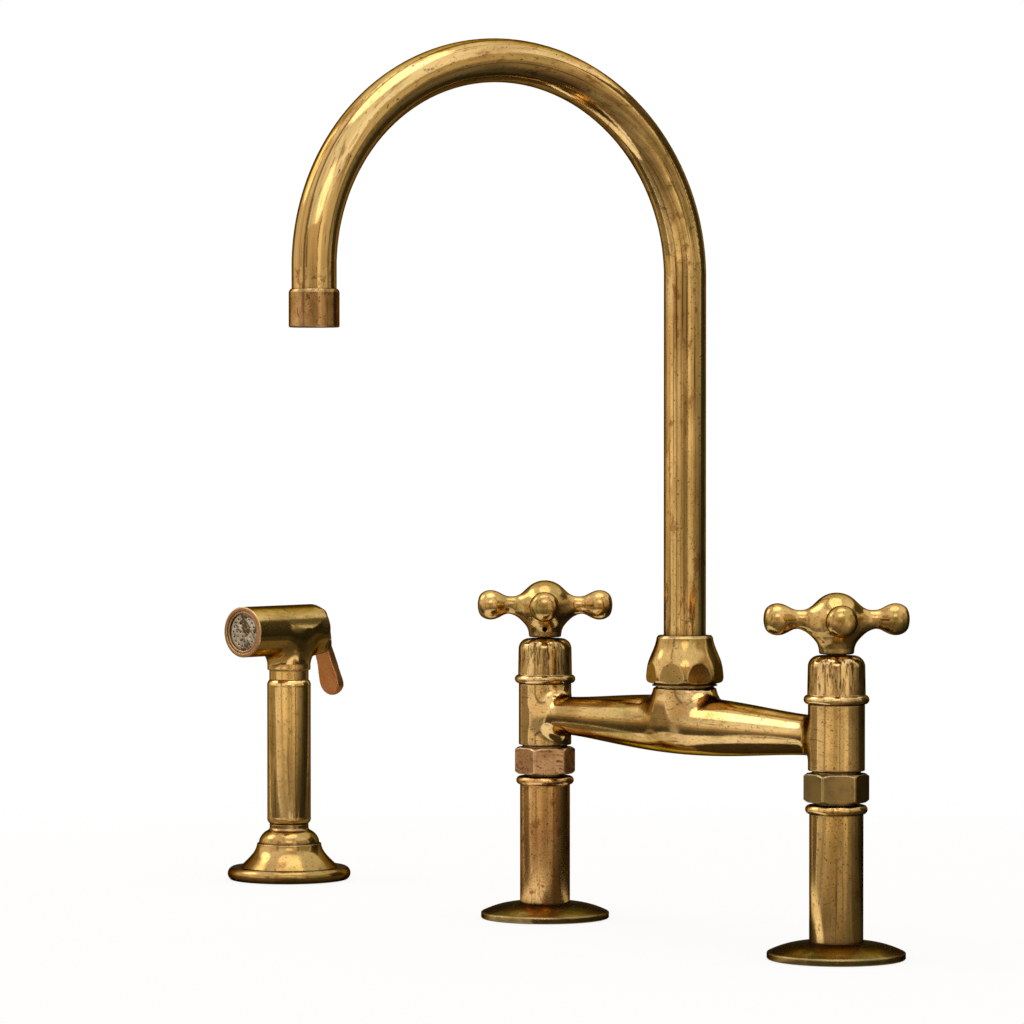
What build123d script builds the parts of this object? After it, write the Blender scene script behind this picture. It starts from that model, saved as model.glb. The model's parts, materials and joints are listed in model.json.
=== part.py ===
from build123d import *
from math import asin, cos, degrees, radians, sin
import os

os.makedirs("parts", exist_ok=True)

# Millimetres, +Z up. The origin lies on the deck plane, midway between the two
# legs. +X runs along the bridge towards the cold leg, and the spout reaches to -Y.

# Driving sizes of the tap
leg_spacing = 203.2  # eight inches between the two deck holes
pillar_height = 62.5  # deck to the bead under the union nut
body_height = 28.7  # plain barrel of each valve body
bonnet_height = 21.0  # bead included
spout_rise = 296.5  # deck to the start of the gooseneck's bend
half_span = 101.7  # riser to the middle of the bend
bend_rise = 91.9  # the bend is a little flatter than a half circle
outlet_drop = 25.4  # centre of the arc to the mouth of the spout
deck_thickness = 30.0  # worktop that the shanks pass through
tail_length = 60.0  # threaded shank below the deck plane
edge_break = 0.4
thread_slack = 0.1
fit_slack = 0.3
running_slack = 0.06
press_slack = 0.05
seal_ease = 0.03

# Legs and flanges
shank_radius = 10.48  # half-inch pipe thread
pillar_step = 1.22  # pillar over its shank
waterway_radius = 7.0
flange_radius = 30.0
flange_rim = 3.0
flange_rise = 4.2  # the flange's top is a very shallow dome
flange_bulge = 0.9  # the dome stands this far above a straight cone
flange_collar = 1.7
bead_size = 4.0
bead_stand = 1.8  # how far a bead stands out of its barrel
inlet_thread = 13.0  # free end that the supply pipe's nut takes
relief_width = 2.0
relief_depth = 0.9
lip_width = 1.2

# Union nuts
union_wall = 2.02  # from the thread to the flats
union_height = 12.3
union_corner_stand = 1.7  # the corners are turned down to this much over the flats
union_lip = 1.7
union_gap = 1.2  # dark line above and below each nut
collar_height = 2.0
washer_height = 1.5
nut_chamfer = 1.0

# Fixings below the worktop
gasket_thickness = 3.0
gasket_width = 8.5
plate_thickness = 2.0
plate_width = 7.5
backnut_height = 6.0
backnut_wall = 3.5
backnut_corner_stand = 2.2

# Bridge casting
body_step = 1.82  # valve body over the union's thread
body_wall = 2.7
seat_depth = 3.3  # floor of the chamber above the barrel's shoulder
arm_inset = 3.5  # the arms' ends are this much slimmer than the valve bodies
arm_mid_radius = 13.2
arm_port_radius = 5.0
boss_rise = 16.8  # arm axis to the top of the boss
boss_inset = 0.8  # the boss starts this far inside the arm
boss_stand = 1.7  # boss over the nipple
nipple_height = 8.2

# Quarter-turn cartridges
cartridge_wall = 1.0
disc_thickness = 2.2
disc_port_radius = 2.3
disc_port_circle = 4.4
disc_gap = 0.05
seal_height = 2.0
spindle_radius = 4.0
drive_width = 3.6
drive_height = 2.4
square_side = 6.0
cartridge_flange = 3.0
neck_wall = 3.5
port_margin = 2.0  # cartridge's cavity above the bridge's port
neck_land = 3.5  # bonnet's roof above the cartridge's neck
seal_drop = 3.4  # spindle's sealing ring below the barrel's top
ring_section = 1.2  # thickness of the small sealing rings

# Bonnets and cross handles
bonnet_step = 0.1
bonnet_shoulder = 4.9
bonnet_wall = 1.5
bonnet_thread_rise = 4.0  # thread starts this far above the cartridge's flange
handle_gap = 0.6
arm_rise = 15.0  # handle's foot to the axis of its arms
hub_radius = 11.5
neck_radius = 7.5
waist_radius = 4.2
ball_radius = 6.9
ball_reach = 25.5
button_radius = 4.7
button_dome = 1.0
grub_radius = 1.15
grub_length = 3.2
grub_height = 3.9
grub_flat = 0.6
grub_socket = 1.4
left_yaw = 51.0
right_yaw = 53.0

# Spout
tube_radius = 9.5
tube_wall = 1.0
spigot_length = 20.5
spigot_wall = 2.9
stub_length = 12.0
seal_section = 1.75
low_seal = 4.0
high_seal = 10.0
bush_wall = 2.8
bush_level = 0.64  # share of the nut's height
thrust_height = 2.6
nipple_stand = 0.7  # nipple's thread over the bore for the bush
nut_height = 22.6
nut_gap = 1.0
nut_wall = 4.3  # from the thread to the nut's widest girth
nut_flat_depth = 0.9
nut_yaw = 28.4
ring_wall = 1.2
ring_height = 16.1
socket_depth = 4.2  # how far the tube enters the outlet's ring
screen_thickness = 1.4
mouth_lip = 1.3
mouth_depth = 2.4
aerator_lip = 1.7
aerator_height = 7.6
aerator_hole = 0.72
aerator_wall = 1.2
aerator_washer_height = 1.2

# Side spray: place and aim
spray_x = -322.2
spray_y = 7.5
spray_yaw = 12.0  # the head is turned this far from the spout's direction
stub_radius = 9.4  # part of the ferrule that drops into the holder
guide_bush_wall = 2.8
guide_wall = 2.0
guide_length = 22.0
holder_radius = 31.3
holder_rim = 6.2
cone_width = 8.6
holder_height = 18.2
holder_wall = 1.8
holder_tail = 45.0
big_gasket_width = 9.5
big_backnut_height = 7.0
big_backnut_wall = 4.5
ferrule_rise = 9.8
ferrule_inset = 0.9
neck_inset = 1.2  # the ferrule's neck inside the grip
hose_tail_radius = 6.6
hose_tail_length = 14.0
hose_tail_drop = 26.0  # deck to the end of the hose tail
hose_bore = 4.0
swivel_radius = 7.4
swivel_length = 17.0
clip_rise = 14.0
clip_thickness = 1.0
swivel_seal_rise = 6.0
grip_radius = 11.1
grip_length = 73.1
grip_round = 3.2
grip_wall = 2.2
head_spigot = 12.0
groove_depth = 1.1
neck_stand = 1.0  # neck over its groove
neck_flare = 0.8
groove_height = 5.4
barrel_radius = 12.75
barrel_front = 34.2
barrel_back = 19.5
barrel_rise = 20.0  # groove to the axis of the barrel
barrel_round = 3.2
barrel_wall = 4.15
chamber_back = 9.4
port_bore = 4.5
valve_bore = 2.6
throat_bore = 2.1
seat_front = 7.2
seat_length = 2.4
seat_wall = 0.75
gland_back = -8.0
rose_wall = 2.0  # barrel round the spray plate's ring
rose_thickness = 1.6
rose_recess = 1.1
rose_lip = 0.65
jet_radius = 0.45
rose_seal_width = 1.6
rose_seal_thickness = 1.5
lever_width = 10.0  # in its slot
paddle_width = 12.8  # where the fingers press
paddle_length = 30.4  # pivot to the lever's tip
paddle_gap = 2.4  # the lever widens this far below the barrel
lever_thickness = 4.7
lever_seat = 0.15  # the lever's face at the stem lies this far in front of the pivot
cheek_thickness = 2.3
slot_slack = 0.2
slot_rise = 3.4  # slot's roof above the pivot
pivot_setback = 3.1  # behind the barrel's back
housing_overhang = 2.6  # housing behind the pivot
pivot_drop = 4.3  # below the barrel's axis
stem_drop = 8.6
stem_radius = 1.4
pin_radius = 1.2
spring_wire = 0.3
spring_slack = 0.35
spring_turns = 5
spring_seat = 1.1
collar_thickness = 1.5

# Radii that follow from the sizes above
pillar_radius = shank_radius + pillar_step
flange_hub = pillar_radius + flange_collar
union_flats = 2 * (shank_radius + union_wall)
union_corner = union_flats / 2 + union_corner_stand
gasket_radius = shank_radius + gasket_width
plate_radius = shank_radius + plate_width
backnut_flats = 2 * (shank_radius + backnut_wall)
backnut_corner = backnut_flats / 2 + backnut_corner_stand
body_radius = shank_radius + body_step
chamber_radius = body_radius - body_wall
arm_end_radius = body_radius - arm_inset
disc_radius = chamber_radius - cartridge_wall - 2 * thread_slack
cartridge_neck = spindle_radius + neck_wall
bonnet_radius = body_radius + bonnet_step
bonnet_mouth = cartridge_neck + thread_slack
tube_bore = tube_radius - tube_wall
spigot_radius = tube_bore
spigot_bore = spigot_radius - spigot_wall
nut_cavity = tube_radius + bush_wall
thrust_collar = nut_cavity - nipple_stand
nipple_radius = nut_cavity + nipple_stand
boss_radius = nipple_radius + boss_stand
nut_bulge = nipple_radius + nut_wall
nut_flats = 2 * (nut_bulge - nut_flat_depth)
nut_top_radius = tube_radius + bush_wall + press_slack
ring_radius = tube_radius + ring_wall
mouth_radius = ring_radius - mouth_lip
aerator_radius = ring_radius - aerator_lip
aerator_bore = aerator_radius - aerator_wall / 2
guide_radius = stub_radius + fit_slack + guide_bush_wall
holder_shank = guide_radius + guide_wall
big_gasket_radius = holder_shank + big_gasket_width
big_backnut_flats = 2 * (holder_shank + big_backnut_wall)
cone_top = holder_shank + holder_wall
cone_foot = cone_top + cone_width
ferrule_radius = cone_top - ferrule_inset
ferrule_neck = grip_radius - neck_inset
grip_bore = grip_radius - grip_wall
neck_root = grip_radius - groove_depth
neck_foot = neck_root + neck_stand
barrel_bore = barrel_radius - barrel_wall
rose_edge = barrel_radius - rose_wall
rose_radius = rose_edge - rose_lip
seat_radius = valve_bore + seat_wall
spring_radius = stem_radius + spring_wire + spring_slack
pivot_back = barrel_back + pivot_setback

# Heights and distances that follow
flange_top = flange_rim + flange_rise
bead_top = pillar_height + bead_size
union_bottom = bead_top + union_gap
union_top = union_bottom + union_height
body_bottom = union_top + union_gap
body_top = body_bottom + body_height
collar_bottom = union_bottom + union_lip
washer_bottom = collar_bottom + collar_height
spigot_end = washer_bottom + washer_height
seat_level = body_bottom + seat_depth
arm_level = (body_bottom + body_top) / 2
arm_blend = 1.28 * arm_inset
boss_top = arm_level + boss_rise
nipple_top = boss_top + nipple_height
bonnet_top = body_top + bonnet_height
handle_foot = bonnet_top + handle_gap
cross_level = handle_foot + arm_rise
reach = 2 * half_span
outlet_height = spout_rise - outlet_drop
nut_bottom = boss_top + nut_gap
nut_top = nut_bottom + nut_height
holder_top = holder_height
ferrule_top = holder_top + ferrule_rise
grip_bottom = ferrule_top + fit_slack
grip_top = grip_bottom + grip_length
head_foot = grip_top + groove_height
barrel_level = head_foot + barrel_rise
pivot_level = barrel_level - pivot_drop
stem_level = barrel_level - stem_drop
rose_face = barrel_front - rose_recess
rose_back = rose_face - rose_thickness
rose_seat = rose_back - rose_seal_thickness
hose_end = -hose_tail_drop
deck_under = -deck_thickness
gasket_bottom = deck_under - gasket_thickness
plate_bottom = gasket_bottom - plate_thickness
backnut_bottom = plate_bottom - backnut_height
trigger_slot = lever_width / 2 + slot_slack
cheek = trigger_slot + cheek_thickness

legs = (("left", -leg_spacing / 2, left_yaw, -90), ("right", leg_spacing / 2, right_yaw, 90))
aim = (sin(radians(spray_yaw)), -cos(radians(spray_yaw)))  # where the spray head points
across = (-aim[1], aim[0])


def vertical(x, y):
    """Axis of everything that is turned about a vertical line."""
    return Axis((x, y, 0), (0, 0, 1))


def half_plane(x, y):
    """Sketch plane whose x is the radius from that line and whose y is the height."""
    return Plane(origin=(x, y, 0), x_dir=(1, 0, 0), z_dir=(0, -1, 0))


def turned(x, y, *points, mode=Mode.ADD):
    """Turn a closed outline of (radius, height) points about the vertical line at x, y."""
    with BuildSketch(half_plane(x, y)) as outline:
        with BuildLine():
            Polyline(*points, close=True)
        make_face()
    revolve(outline.sketch, axis=vertical(x, y), mode=mode)


def ring(x, y, low, high, outer, inner=0.0, mode=Mode.ADD):
    """Plain upright disc, or a ring if it has an inner radius."""
    with BuildSketch(Plane.XY.offset(low)) as outline:
        with Locations((x, y)):
            Circle(outer)
            if inner > 0:
                Circle(inner, mode=Mode.SUBTRACT)
    extrude(outline.sketch, amount=high - low, mode=mode)


def bored(x, y, low, high, radius):
    """Round upright hole between two heights."""
    ring(x, y, low, high, radius, mode=Mode.SUBTRACT)


def torus_ring(x, y, level, radius, section, mode=Mode.ADD):
    """Sealing ring of round section, just clear of its groove."""
    with BuildSketch(half_plane(x, y)) as outline:
        with Locations((radius, level)):
            Circle(section - seal_ease)
    revolve(outline.sketch, axis=vertical(x, y), mode=mode)


def lying_plane(x, y, level, direction):
    """Sketch plane that stands upright along a horizontal direction, with y as height."""
    return Plane(origin=(x, y, level), x_dir=(*direction, 0), z_dir=(direction[1], -direction[0], 0))


def lying_axis(x, y, level, direction):
    """Horizontal axis through that plane's origin."""
    return Axis((x, y, level), (*direction, 0))


def rod(start, end, outer, inner=0.0, level=0.0, mode=Mode.ADD):
    """Round bar or tube along the spray's aim, between two distances in front of the grip's axis."""
    place = Plane(
        origin=(spray_x + aim[0] * start, spray_y + aim[1] * start, level),
        x_dir=(*across, 0),
        z_dir=(*aim, 0),
    )
    with BuildSketch(place) as outline:
        Circle(outer)
        if inner > 0:
            Circle(inner, mode=Mode.SUBTRACT)
    extrude(outline.sketch, amount=end - start, mode=mode)


def forward(edge):
    """How far in front of the grip an edge of the spray head lies, for sorting."""
    return edge.center().X * aim[0] + edge.center().Y * aim[1]


def save(piece, name):
    """Name a finished piece and write it."""
    piece.part.label = name
    export_step(piece.part, f"parts/{name}.step")


# ---------------------------------------------------------------- legs
for side, leg_x, yaw, grub_side in legs:
    with BuildPart() as flange:
        hole = shank_radius + fit_slack / 2
        rim_edge = flange_radius - edge_break
        with BuildSketch(half_plane(leg_x, 0)):
            with BuildLine():
                Polyline((flange_hub, flange_top), (hole, flange_top), (hole, 0), (rim_edge, 0))
                Polyline(
                    (rim_edge, 0),
                    (flange_radius, edge_break),
                    (flange_radius, flange_rim - edge_break),
                    (rim_edge, flange_rim),
                )
                ThreePointArc(
                    (rim_edge, flange_rim),
                    ((rim_edge + flange_hub) / 2, (flange_rim + flange_top) / 2 + flange_bulge),
                    (flange_hub, flange_top),
                )
            make_face()
        revolve(axis=vertical(leg_x, 0))
    save(flange, f"{side}_flange")

    with BuildPart() as pillar:
        relief_top = -tail_length + inlet_thread + relief_width
        collar_radius = shank_radius - fit_slack
        lip_radius = collar_radius - lip_width
        with BuildSketch(half_plane(leg_x, 0)):
            with BuildLine():
                Polyline(
                    (pillar_radius, pillar_height),
                    (pillar_radius, flange_top),
                    (shank_radius, flange_top),
                    (shank_radius, relief_top),
                    (shank_radius - relief_depth, relief_top),
                    (shank_radius - relief_depth, relief_top - relief_width),
                    (shank_radius, relief_top - relief_width),
                    (shank_radius, -tail_length + 2 * edge_break),
                    (shank_radius - 2 * edge_break, -tail_length),
                    (waterway_radius, -tail_length),
                    (waterway_radius, washer_bottom),
                    (collar_radius, washer_bottom),
                    (collar_radius, collar_bottom),
                    (lip_radius, collar_bottom),
                    (lip_radius, bead_top),
                    (pillar_radius, bead_top),
                )
                ThreePointArc(
                    (pillar_radius, bead_top),
                    (pillar_radius + bead_stand, pillar_height + bead_size / 2),
                    (pillar_radius, pillar_height),
                )
            make_face()
        revolve(axis=vertical(leg_x, 0))
    save(pillar, f"{side}_pillar")

    with BuildPart() as union_nut:
        # The left nut shows a corner square to the bridge, the right one a flat to the front.
        nut_turn = 1 if side == "left" else -7
        with BuildSketch(Plane.XY.offset(union_bottom)):
            with Locations((leg_x, 0)):
                RegularPolygon(union_flats / 2, 6, major_radius=False, rotation=nut_turn)
        extrude(amount=union_height)
        corner = union_flats / 2 + fit_slack
        turned(
            leg_x, 0,
            (0, union_bottom),
            (corner, union_bottom),
            (union_corner, union_bottom + nut_chamfer),
            (union_corner, union_top - nut_chamfer),
            (corner, union_top),
            (0, union_top),
            mode=Mode.INTERSECT,
        )
        bored(leg_x, 0, union_bottom, union_top, lip_radius + fit_slack)
        bored(leg_x, 0, collar_bottom, union_top, shank_radius + thread_slack)
    save(union_nut, f"{side}_union_nut")

    with BuildPart() as union_washer:
        ring(leg_x, 0, washer_bottom, spigot_end, collar_radius, waterway_radius + fit_slack)
    save(union_washer, f"{side}_union_washer")

    # Fixing below the worktop
    with BuildPart() as deck_gasket:
        ring(leg_x, 0, gasket_bottom, deck_under, gasket_radius, shank_radius + fit_slack)
    save(deck_gasket, f"{side}_deck_gasket")

    with BuildPart() as fixing_washer:
        ring(leg_x, 0, plate_bottom, gasket_bottom, plate_radius, shank_radius + fit_slack)
    save(fixing_washer, f"{side}_fixing_washer")

    with BuildPart() as backnut:
        with BuildSketch(Plane.XY.offset(backnut_bottom)):
            with Locations((leg_x, 0)):
                RegularPolygon(backnut_flats / 2, 6, major_radius=False)
        extrude(amount=backnut_height)
        turned(
            leg_x, 0,
            (0, backnut_bottom),
            (backnut_flats / 2 + fit_slack, backnut_bottom),
            (backnut_corner, backnut_bottom + nut_chamfer),
            (backnut_corner, plate_bottom),
            (0, plate_bottom),
            mode=Mode.INTERSECT,
        )
        bored(leg_x, 0, backnut_bottom, plate_bottom, shank_radius + thread_slack)
    save(backnut, f"{side}_backnut")

# ---------------------------------------------------------------- bridge casting
with BuildPart() as bridge_body:
    arm_half = leg_spacing / 2
    swell = arm_mid_radius - arm_end_radius
    half_outline = (
        (arm_half, arm_end_radius),
        (arm_half * 0.76, arm_end_radius + 0.02 * swell),
        (arm_half * 0.55, arm_end_radius + 0.4 * swell),
        (arm_half * 0.28, arm_end_radius + 0.82 * swell),
    )
    crown = [(-x, arm_level + r) for x, r in half_outline]
    crown += [(0, arm_level + arm_mid_radius)]
    crown += [(x, arm_level + r) for x, r in reversed(half_outline)]
    with BuildSketch(Plane.XZ):
        with BuildLine():
            Spline(*crown, tangents=((1, 0), (1, 0)))
            Polyline(crown[-1], (arm_half, arm_level), (-arm_half, arm_level), crown[0])
        make_face()
    revolve(axis=Axis((0, 0, arm_level), (1, 0, 0)))
    turned(
        0, 0,
        (0, arm_level),
        (arm_mid_radius - boss_inset, arm_level),
        (boss_radius, boss_top - boss_radius / 2),
        (boss_radius, boss_top),
        (0, boss_top),
    )
    for side, leg_x, yaw, grub_side in legs:
        ring(leg_x, 0, body_bottom, body_top, body_radius)
    joins = bridge_body.edges().filter_by(GeomType.BSPLINE)
    body_edge = arm_half - 1.5 * body_radius
    fillet([e for e in joins if abs(e.center().X) > body_edge], arm_blend)
    # Threaded ends: the spout nut's nipple on top, a union spigot under each valve body
    ring(0, 0, boss_top, nipple_top, nipple_radius)
    for side, leg_x, yaw, grub_side in legs:
        ring(leg_x, 0, spigot_end, body_bottom, shank_radius)
        bored(leg_x, 0, spigot_end, seat_level, waterway_radius)
        bored(leg_x, 0, seat_level, body_top, chamber_radius)
    # Waterway from both chambers to the spout
    with BuildSketch(Plane.YZ.offset(-arm_half)):
        with Locations((0, arm_level)):
            Circle(arm_port_radius)
    extrude(amount=leg_spacing, mode=Mode.SUBTRACT)
    spout_low = nipple_top - spigot_length
    bored(0, 0, arm_level, nipple_top, spigot_bore)
    bored(0, 0, spout_low - fit_slack, nipple_top, spigot_radius + running_slack)
save(bridge_body, "bridge_body")

# ---------------------------------------------------------------- valves, bonnets and handles
for side, leg_x, yaw, grub_side in legs:
    seal_top = seat_level + seal_height
    disc_top = seal_top + disc_thickness
    moving_low = disc_top + disc_gap
    moving_top = moving_low + disc_thickness
    drive_low = moving_top - disc_thickness / 2
    drive_top = moving_top + drive_height
    cavity_top = arm_level + arm_port_radius + port_margin
    hex_top = body_top + cartridge_flange
    neck_top = bonnet_top - neck_land
    square_low = bonnet_top - fit_slack
    square_top = cross_level
    shut = radians(yaw)
    port = (disc_port_circle * cos(shut), disc_port_circle * sin(shut))

    with BuildPart() as seat_seal:
        ring(leg_x, 0, seat_level, seal_top, chamber_radius - thread_slack, waterway_radius)
    save(seat_seal, f"{side}_seat_seal")

    # The fixed disc's ports stand a quarter turn from the moving disc's when the tap is shut.
    with BuildPart() as fixed_disc:
        ring(leg_x, 0, seal_top, disc_top, disc_radius)
        for turn in (1, -1):
            bored(leg_x - turn * port[1], turn * port[0], seal_top, disc_top, disc_port_radius)
    save(fixed_disc, f"{side}_fixed_disc")

    with BuildPart() as moving_disc:
        ring(leg_x, 0, moving_low, moving_top, disc_radius - fit_slack)
        for turn in (1, -1):
            bored(leg_x + turn * port[0], turn * port[1], moving_low, moving_top, disc_port_radius)
        with BuildSketch(Plane.XY.offset(drive_low)):
            with Locations(Location((leg_x, 0), yaw + 90)):
                Rectangle(2 * disc_radius, drive_width + thread_slack)
        extrude(amount=disc_thickness, mode=Mode.SUBTRACT)
    save(moving_disc, f"{side}_moving_disc")

    with BuildPart() as spindle:
        with BuildSketch(Plane.XY.offset(drive_low)):
            with Locations(Location((leg_x, 0), yaw + 90)):
                Rectangle(1.8 * disc_radius, drive_width)
        extrude(amount=drive_top - drive_low)
        ring(leg_x, 0, drive_top, square_low, spindle_radius)
        groove_low = body_top - seal_drop
        groove_root = spindle_radius - ring_section
        ring(leg_x, 0, groove_low, groove_low + ring_section, spindle_radius + 1, groove_root, Mode.SUBTRACT)
        with BuildSketch(Plane.XY.offset(square_low)):
            with Locations(Location((leg_x, 0), yaw)):
                Rectangle(square_side, square_side)
        extrude(amount=square_top - square_low)
    save(spindle, f"{side}_spindle")

    with BuildPart() as spindle_seal:
        torus_ring(leg_x, 0, groove_low + ring_section / 2, groove_root + ring_section / 2, ring_section / 2)
    save(spindle_seal, f"{side}_spindle_seal")

    with BuildPart() as cartridge:
        ring(leg_x, 0, seal_top, body_top, chamber_radius - thread_slack)
        flange_edge = bonnet_radius - bonnet_wall - fit_slack
        ring(leg_x, 0, body_top, body_top + cartridge_flange / 2, flange_edge)
        with BuildSketch(Plane.XY.offset(body_top)):
            with Locations((leg_x, 0)):
                RegularPolygon(flange_edge, 6)
        extrude(amount=cartridge_flange)
        ring(leg_x, 0, hex_top, neck_top, cartridge_neck)
        bored(leg_x, 0, seal_top, cavity_top, disc_radius + thread_slack)
        bored(leg_x, 0, cavity_top, neck_top, spindle_radius + running_slack)
        # Four windows let the water out level with the bridge's arms.
        window = arm_port_radius * 1.6
        for turn in (0, 90):
            with BuildSketch(Plane.XY.offset(arm_level - window / 2)):
                with Locations(Location((leg_x, 0), turn)):
                    Rectangle(3 * chamber_radius, window)
            extrude(amount=window, mode=Mode.SUBTRACT)
    save(cartridge, f"{side}_cartridge")

    with BuildPart() as bonnet:
        inner = bonnet_radius - bonnet_wall
        shoulder = bonnet_top - bonnet_shoulder
        bead_mid = body_top + bead_size / 2
        base = body_top + bead_size
        roof = hex_top + bonnet_thread_rise
        with BuildSketch(half_plane(leg_x, 0)):
            with BuildLine():
                Line((inner, body_top), (bonnet_radius, body_top))
                ThreePointArc(
                    (bonnet_radius, body_top),
                    (bonnet_radius + bead_stand, bead_mid),
                    (bonnet_radius + bead_stand / 8, base),
                )
                Line((bonnet_radius + bead_stand / 8, base), (bonnet_radius, shoulder))
                EllipticalCenterArc(
                    (bonnet_mouth, shoulder),
                    bonnet_radius - bonnet_mouth,
                    bonnet_shoulder,
                    start_angle=0,
                    arc_size=90,
                )
                Polyline(
                    (bonnet_mouth, bonnet_top),
                    (spindle_radius + fit_slack, bonnet_top),
                    (spindle_radius + fit_slack, neck_top),
                    (cartridge_neck + thread_slack, neck_top),
                    (cartridge_neck + thread_slack, roof + neck_land / 2),
                    (inner, roof),
                    (inner, body_top),
                )
            make_face()
        revolve(axis=vertical(leg_x, 0))
    save(bonnet, f"{side}_bonnet")

    with BuildPart() as handle:
        with BuildSketch(half_plane(leg_x, 0)):
            with BuildLine():
                Line((0, cross_level + hub_radius), (0, handle_foot))
                Line((0, handle_foot), (neck_radius, handle_foot))
                Spline(
                    (neck_radius, handle_foot),
                    (neck_radius + 0.9, handle_foot + 0.31 * arm_rise),
                    (neck_radius + 2.6, handle_foot + 0.52 * arm_rise),
                    (hub_radius, cross_level),
                    tangents=((0, 1), (0, 1)),
                )
                CenterArc((0, cross_level), hub_radius, 0, 90)
            make_face()
        revolve(axis=vertical(leg_x, 0))
        for quarter in range(4):
            way = radians(yaw + 90 * quarter)
            direction = (cos(way), sin(way))
            with BuildSketch(lying_plane(leg_x, 0, cross_level, direction)):
                with BuildLine():
                    button_at = ball_reach + (ball_radius**2 - button_radius**2) ** 0.5
                    ball_root = ball_reach - 0.82 * ball_radius
                    arm_root = waist_radius + 0.8
                    Polyline((button_at + button_dome, 0), (arm_root, 0), (arm_root, arm_root))
                    Spline(
                        (arm_root, arm_root),
                        (0.55 * ball_reach, waist_radius),
                        (ball_root, ball_radius * 0.572),
                        (ball_reach, ball_radius),
                        tangents=((1, 0), (1, 0)),
                    )
                    ball_end = degrees(asin(button_radius / ball_radius))
                    CenterArc((ball_reach, 0), ball_radius, ball_end, 90 - ball_end)
                    dome_radius = (button_radius**2 + button_dome**2) / (2 * button_dome)
                    dome_middle = button_at + button_dome - dome_radius
                    CenterArc((dome_middle, 0), dome_radius, 0, degrees(asin(button_radius / dome_radius)))
                make_face()
            revolve(axis=lying_axis(leg_x, 0, cross_level, direction))
        # Square socket for the spindle, and the grub screw's hole on a small flat
        with BuildSketch(Plane.XY.offset(handle_foot)):
            with Locations(Location((leg_x, 0), yaw)):
                Rectangle(square_side + thread_slack, square_side + thread_slack)
        extrude(amount=square_top + fit_slack - handle_foot, mode=Mode.SUBTRACT)
        grub_way = radians(yaw + grub_side)
        grub_place = Plane(
            origin=(leg_x, 0, handle_foot + grub_height),
            x_dir=(-sin(grub_way), cos(grub_way), 0),
            z_dir=(cos(grub_way), sin(grub_way), 0),
        )
        with BuildSketch(grub_place.offset(neck_radius - grub_flat)):
            with Locations((0, -grub_height)):
                Rectangle(2 * neck_radius, 1.5 * grub_height, align=(Align.CENTER, Align.MIN))
        extrude(amount=neck_radius, mode=Mode.SUBTRACT)
        with BuildSketch(grub_place):
            Circle(grub_radius + press_slack)
        extrude(amount=2 * neck_radius, mode=Mode.SUBTRACT)
    save(handle, f"{side}_handle")

    with BuildPart() as grub_screw:
        grub_low = (square_side + thread_slack) / 2
        with BuildSketch(grub_place.offset(grub_low)):
            Circle(grub_radius)
        extrude(amount=grub_length)
        with BuildSketch(grub_place.offset(grub_low + grub_length)):
            RegularPolygon(grub_radius * 0.55, 6)
        extrude(amount=-grub_socket, mode=Mode.SUBTRACT)
    save(grub_screw, f"{side}_grub_screw")

# ---------------------------------------------------------------- spout
collar_low = nipple_top + thread_slack
collar_high = collar_low + thrust_height
tube_end = outlet_height + ring_height - socket_depth
bush_low = collar_high + fit_slack
bush_high = nut_bottom + bush_level * nut_height

with BuildPart() as spout_spigot:
    ring(0, 0, spout_low, collar_low, spigot_radius)
    ring(0, 0, collar_low, collar_high, thrust_collar)
    ring(0, 0, collar_high, collar_high + stub_length, tube_bore - press_slack)
    bored(0, 0, spout_low, collar_high + stub_length, spigot_bore)
    seal_levels = (spout_low + low_seal, spout_low + high_seal)
    for level in seal_levels:
        root = spigot_radius - seal_section
        ring(0, 0, level, level + seal_section + fit_slack, spigot_radius + 1, root, Mode.SUBTRACT)
save(spout_spigot, "spout_spigot")

with BuildPart() as spout_seals:
    for level in seal_levels:
        middle = spigot_radius - seal_section / 2
        torus_ring(0, 0, level + (seal_section + fit_slack) / 2, middle, seal_section / 2)
save(spout_seals, "spout_seals")

with BuildPart() as spout_tube:
    with BuildLine(Plane.YZ) as spout_route:
        Line((0, collar_high), (0, spout_rise))
        EllipticalCenterArc((-half_span, spout_rise), half_span, bend_rise, start_angle=0, arc_size=90)
        EllipticalCenterArc((-half_span, spout_rise), half_span, bend_rise, start_angle=90, arc_size=90)
        Line((-reach, spout_rise), (-reach, tube_end))
    with BuildSketch(Plane.XY.offset(collar_high)):
        Circle(tube_radius)
        Circle(tube_bore, mode=Mode.SUBTRACT)
    sweep()
save(spout_tube, "spout_tube")

with BuildPart() as spout_bush:
    ring(0, 0, bush_low, bush_high, nut_cavity - thread_slack, tube_radius + running_slack)
save(spout_bush, "spout_bush")

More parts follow.
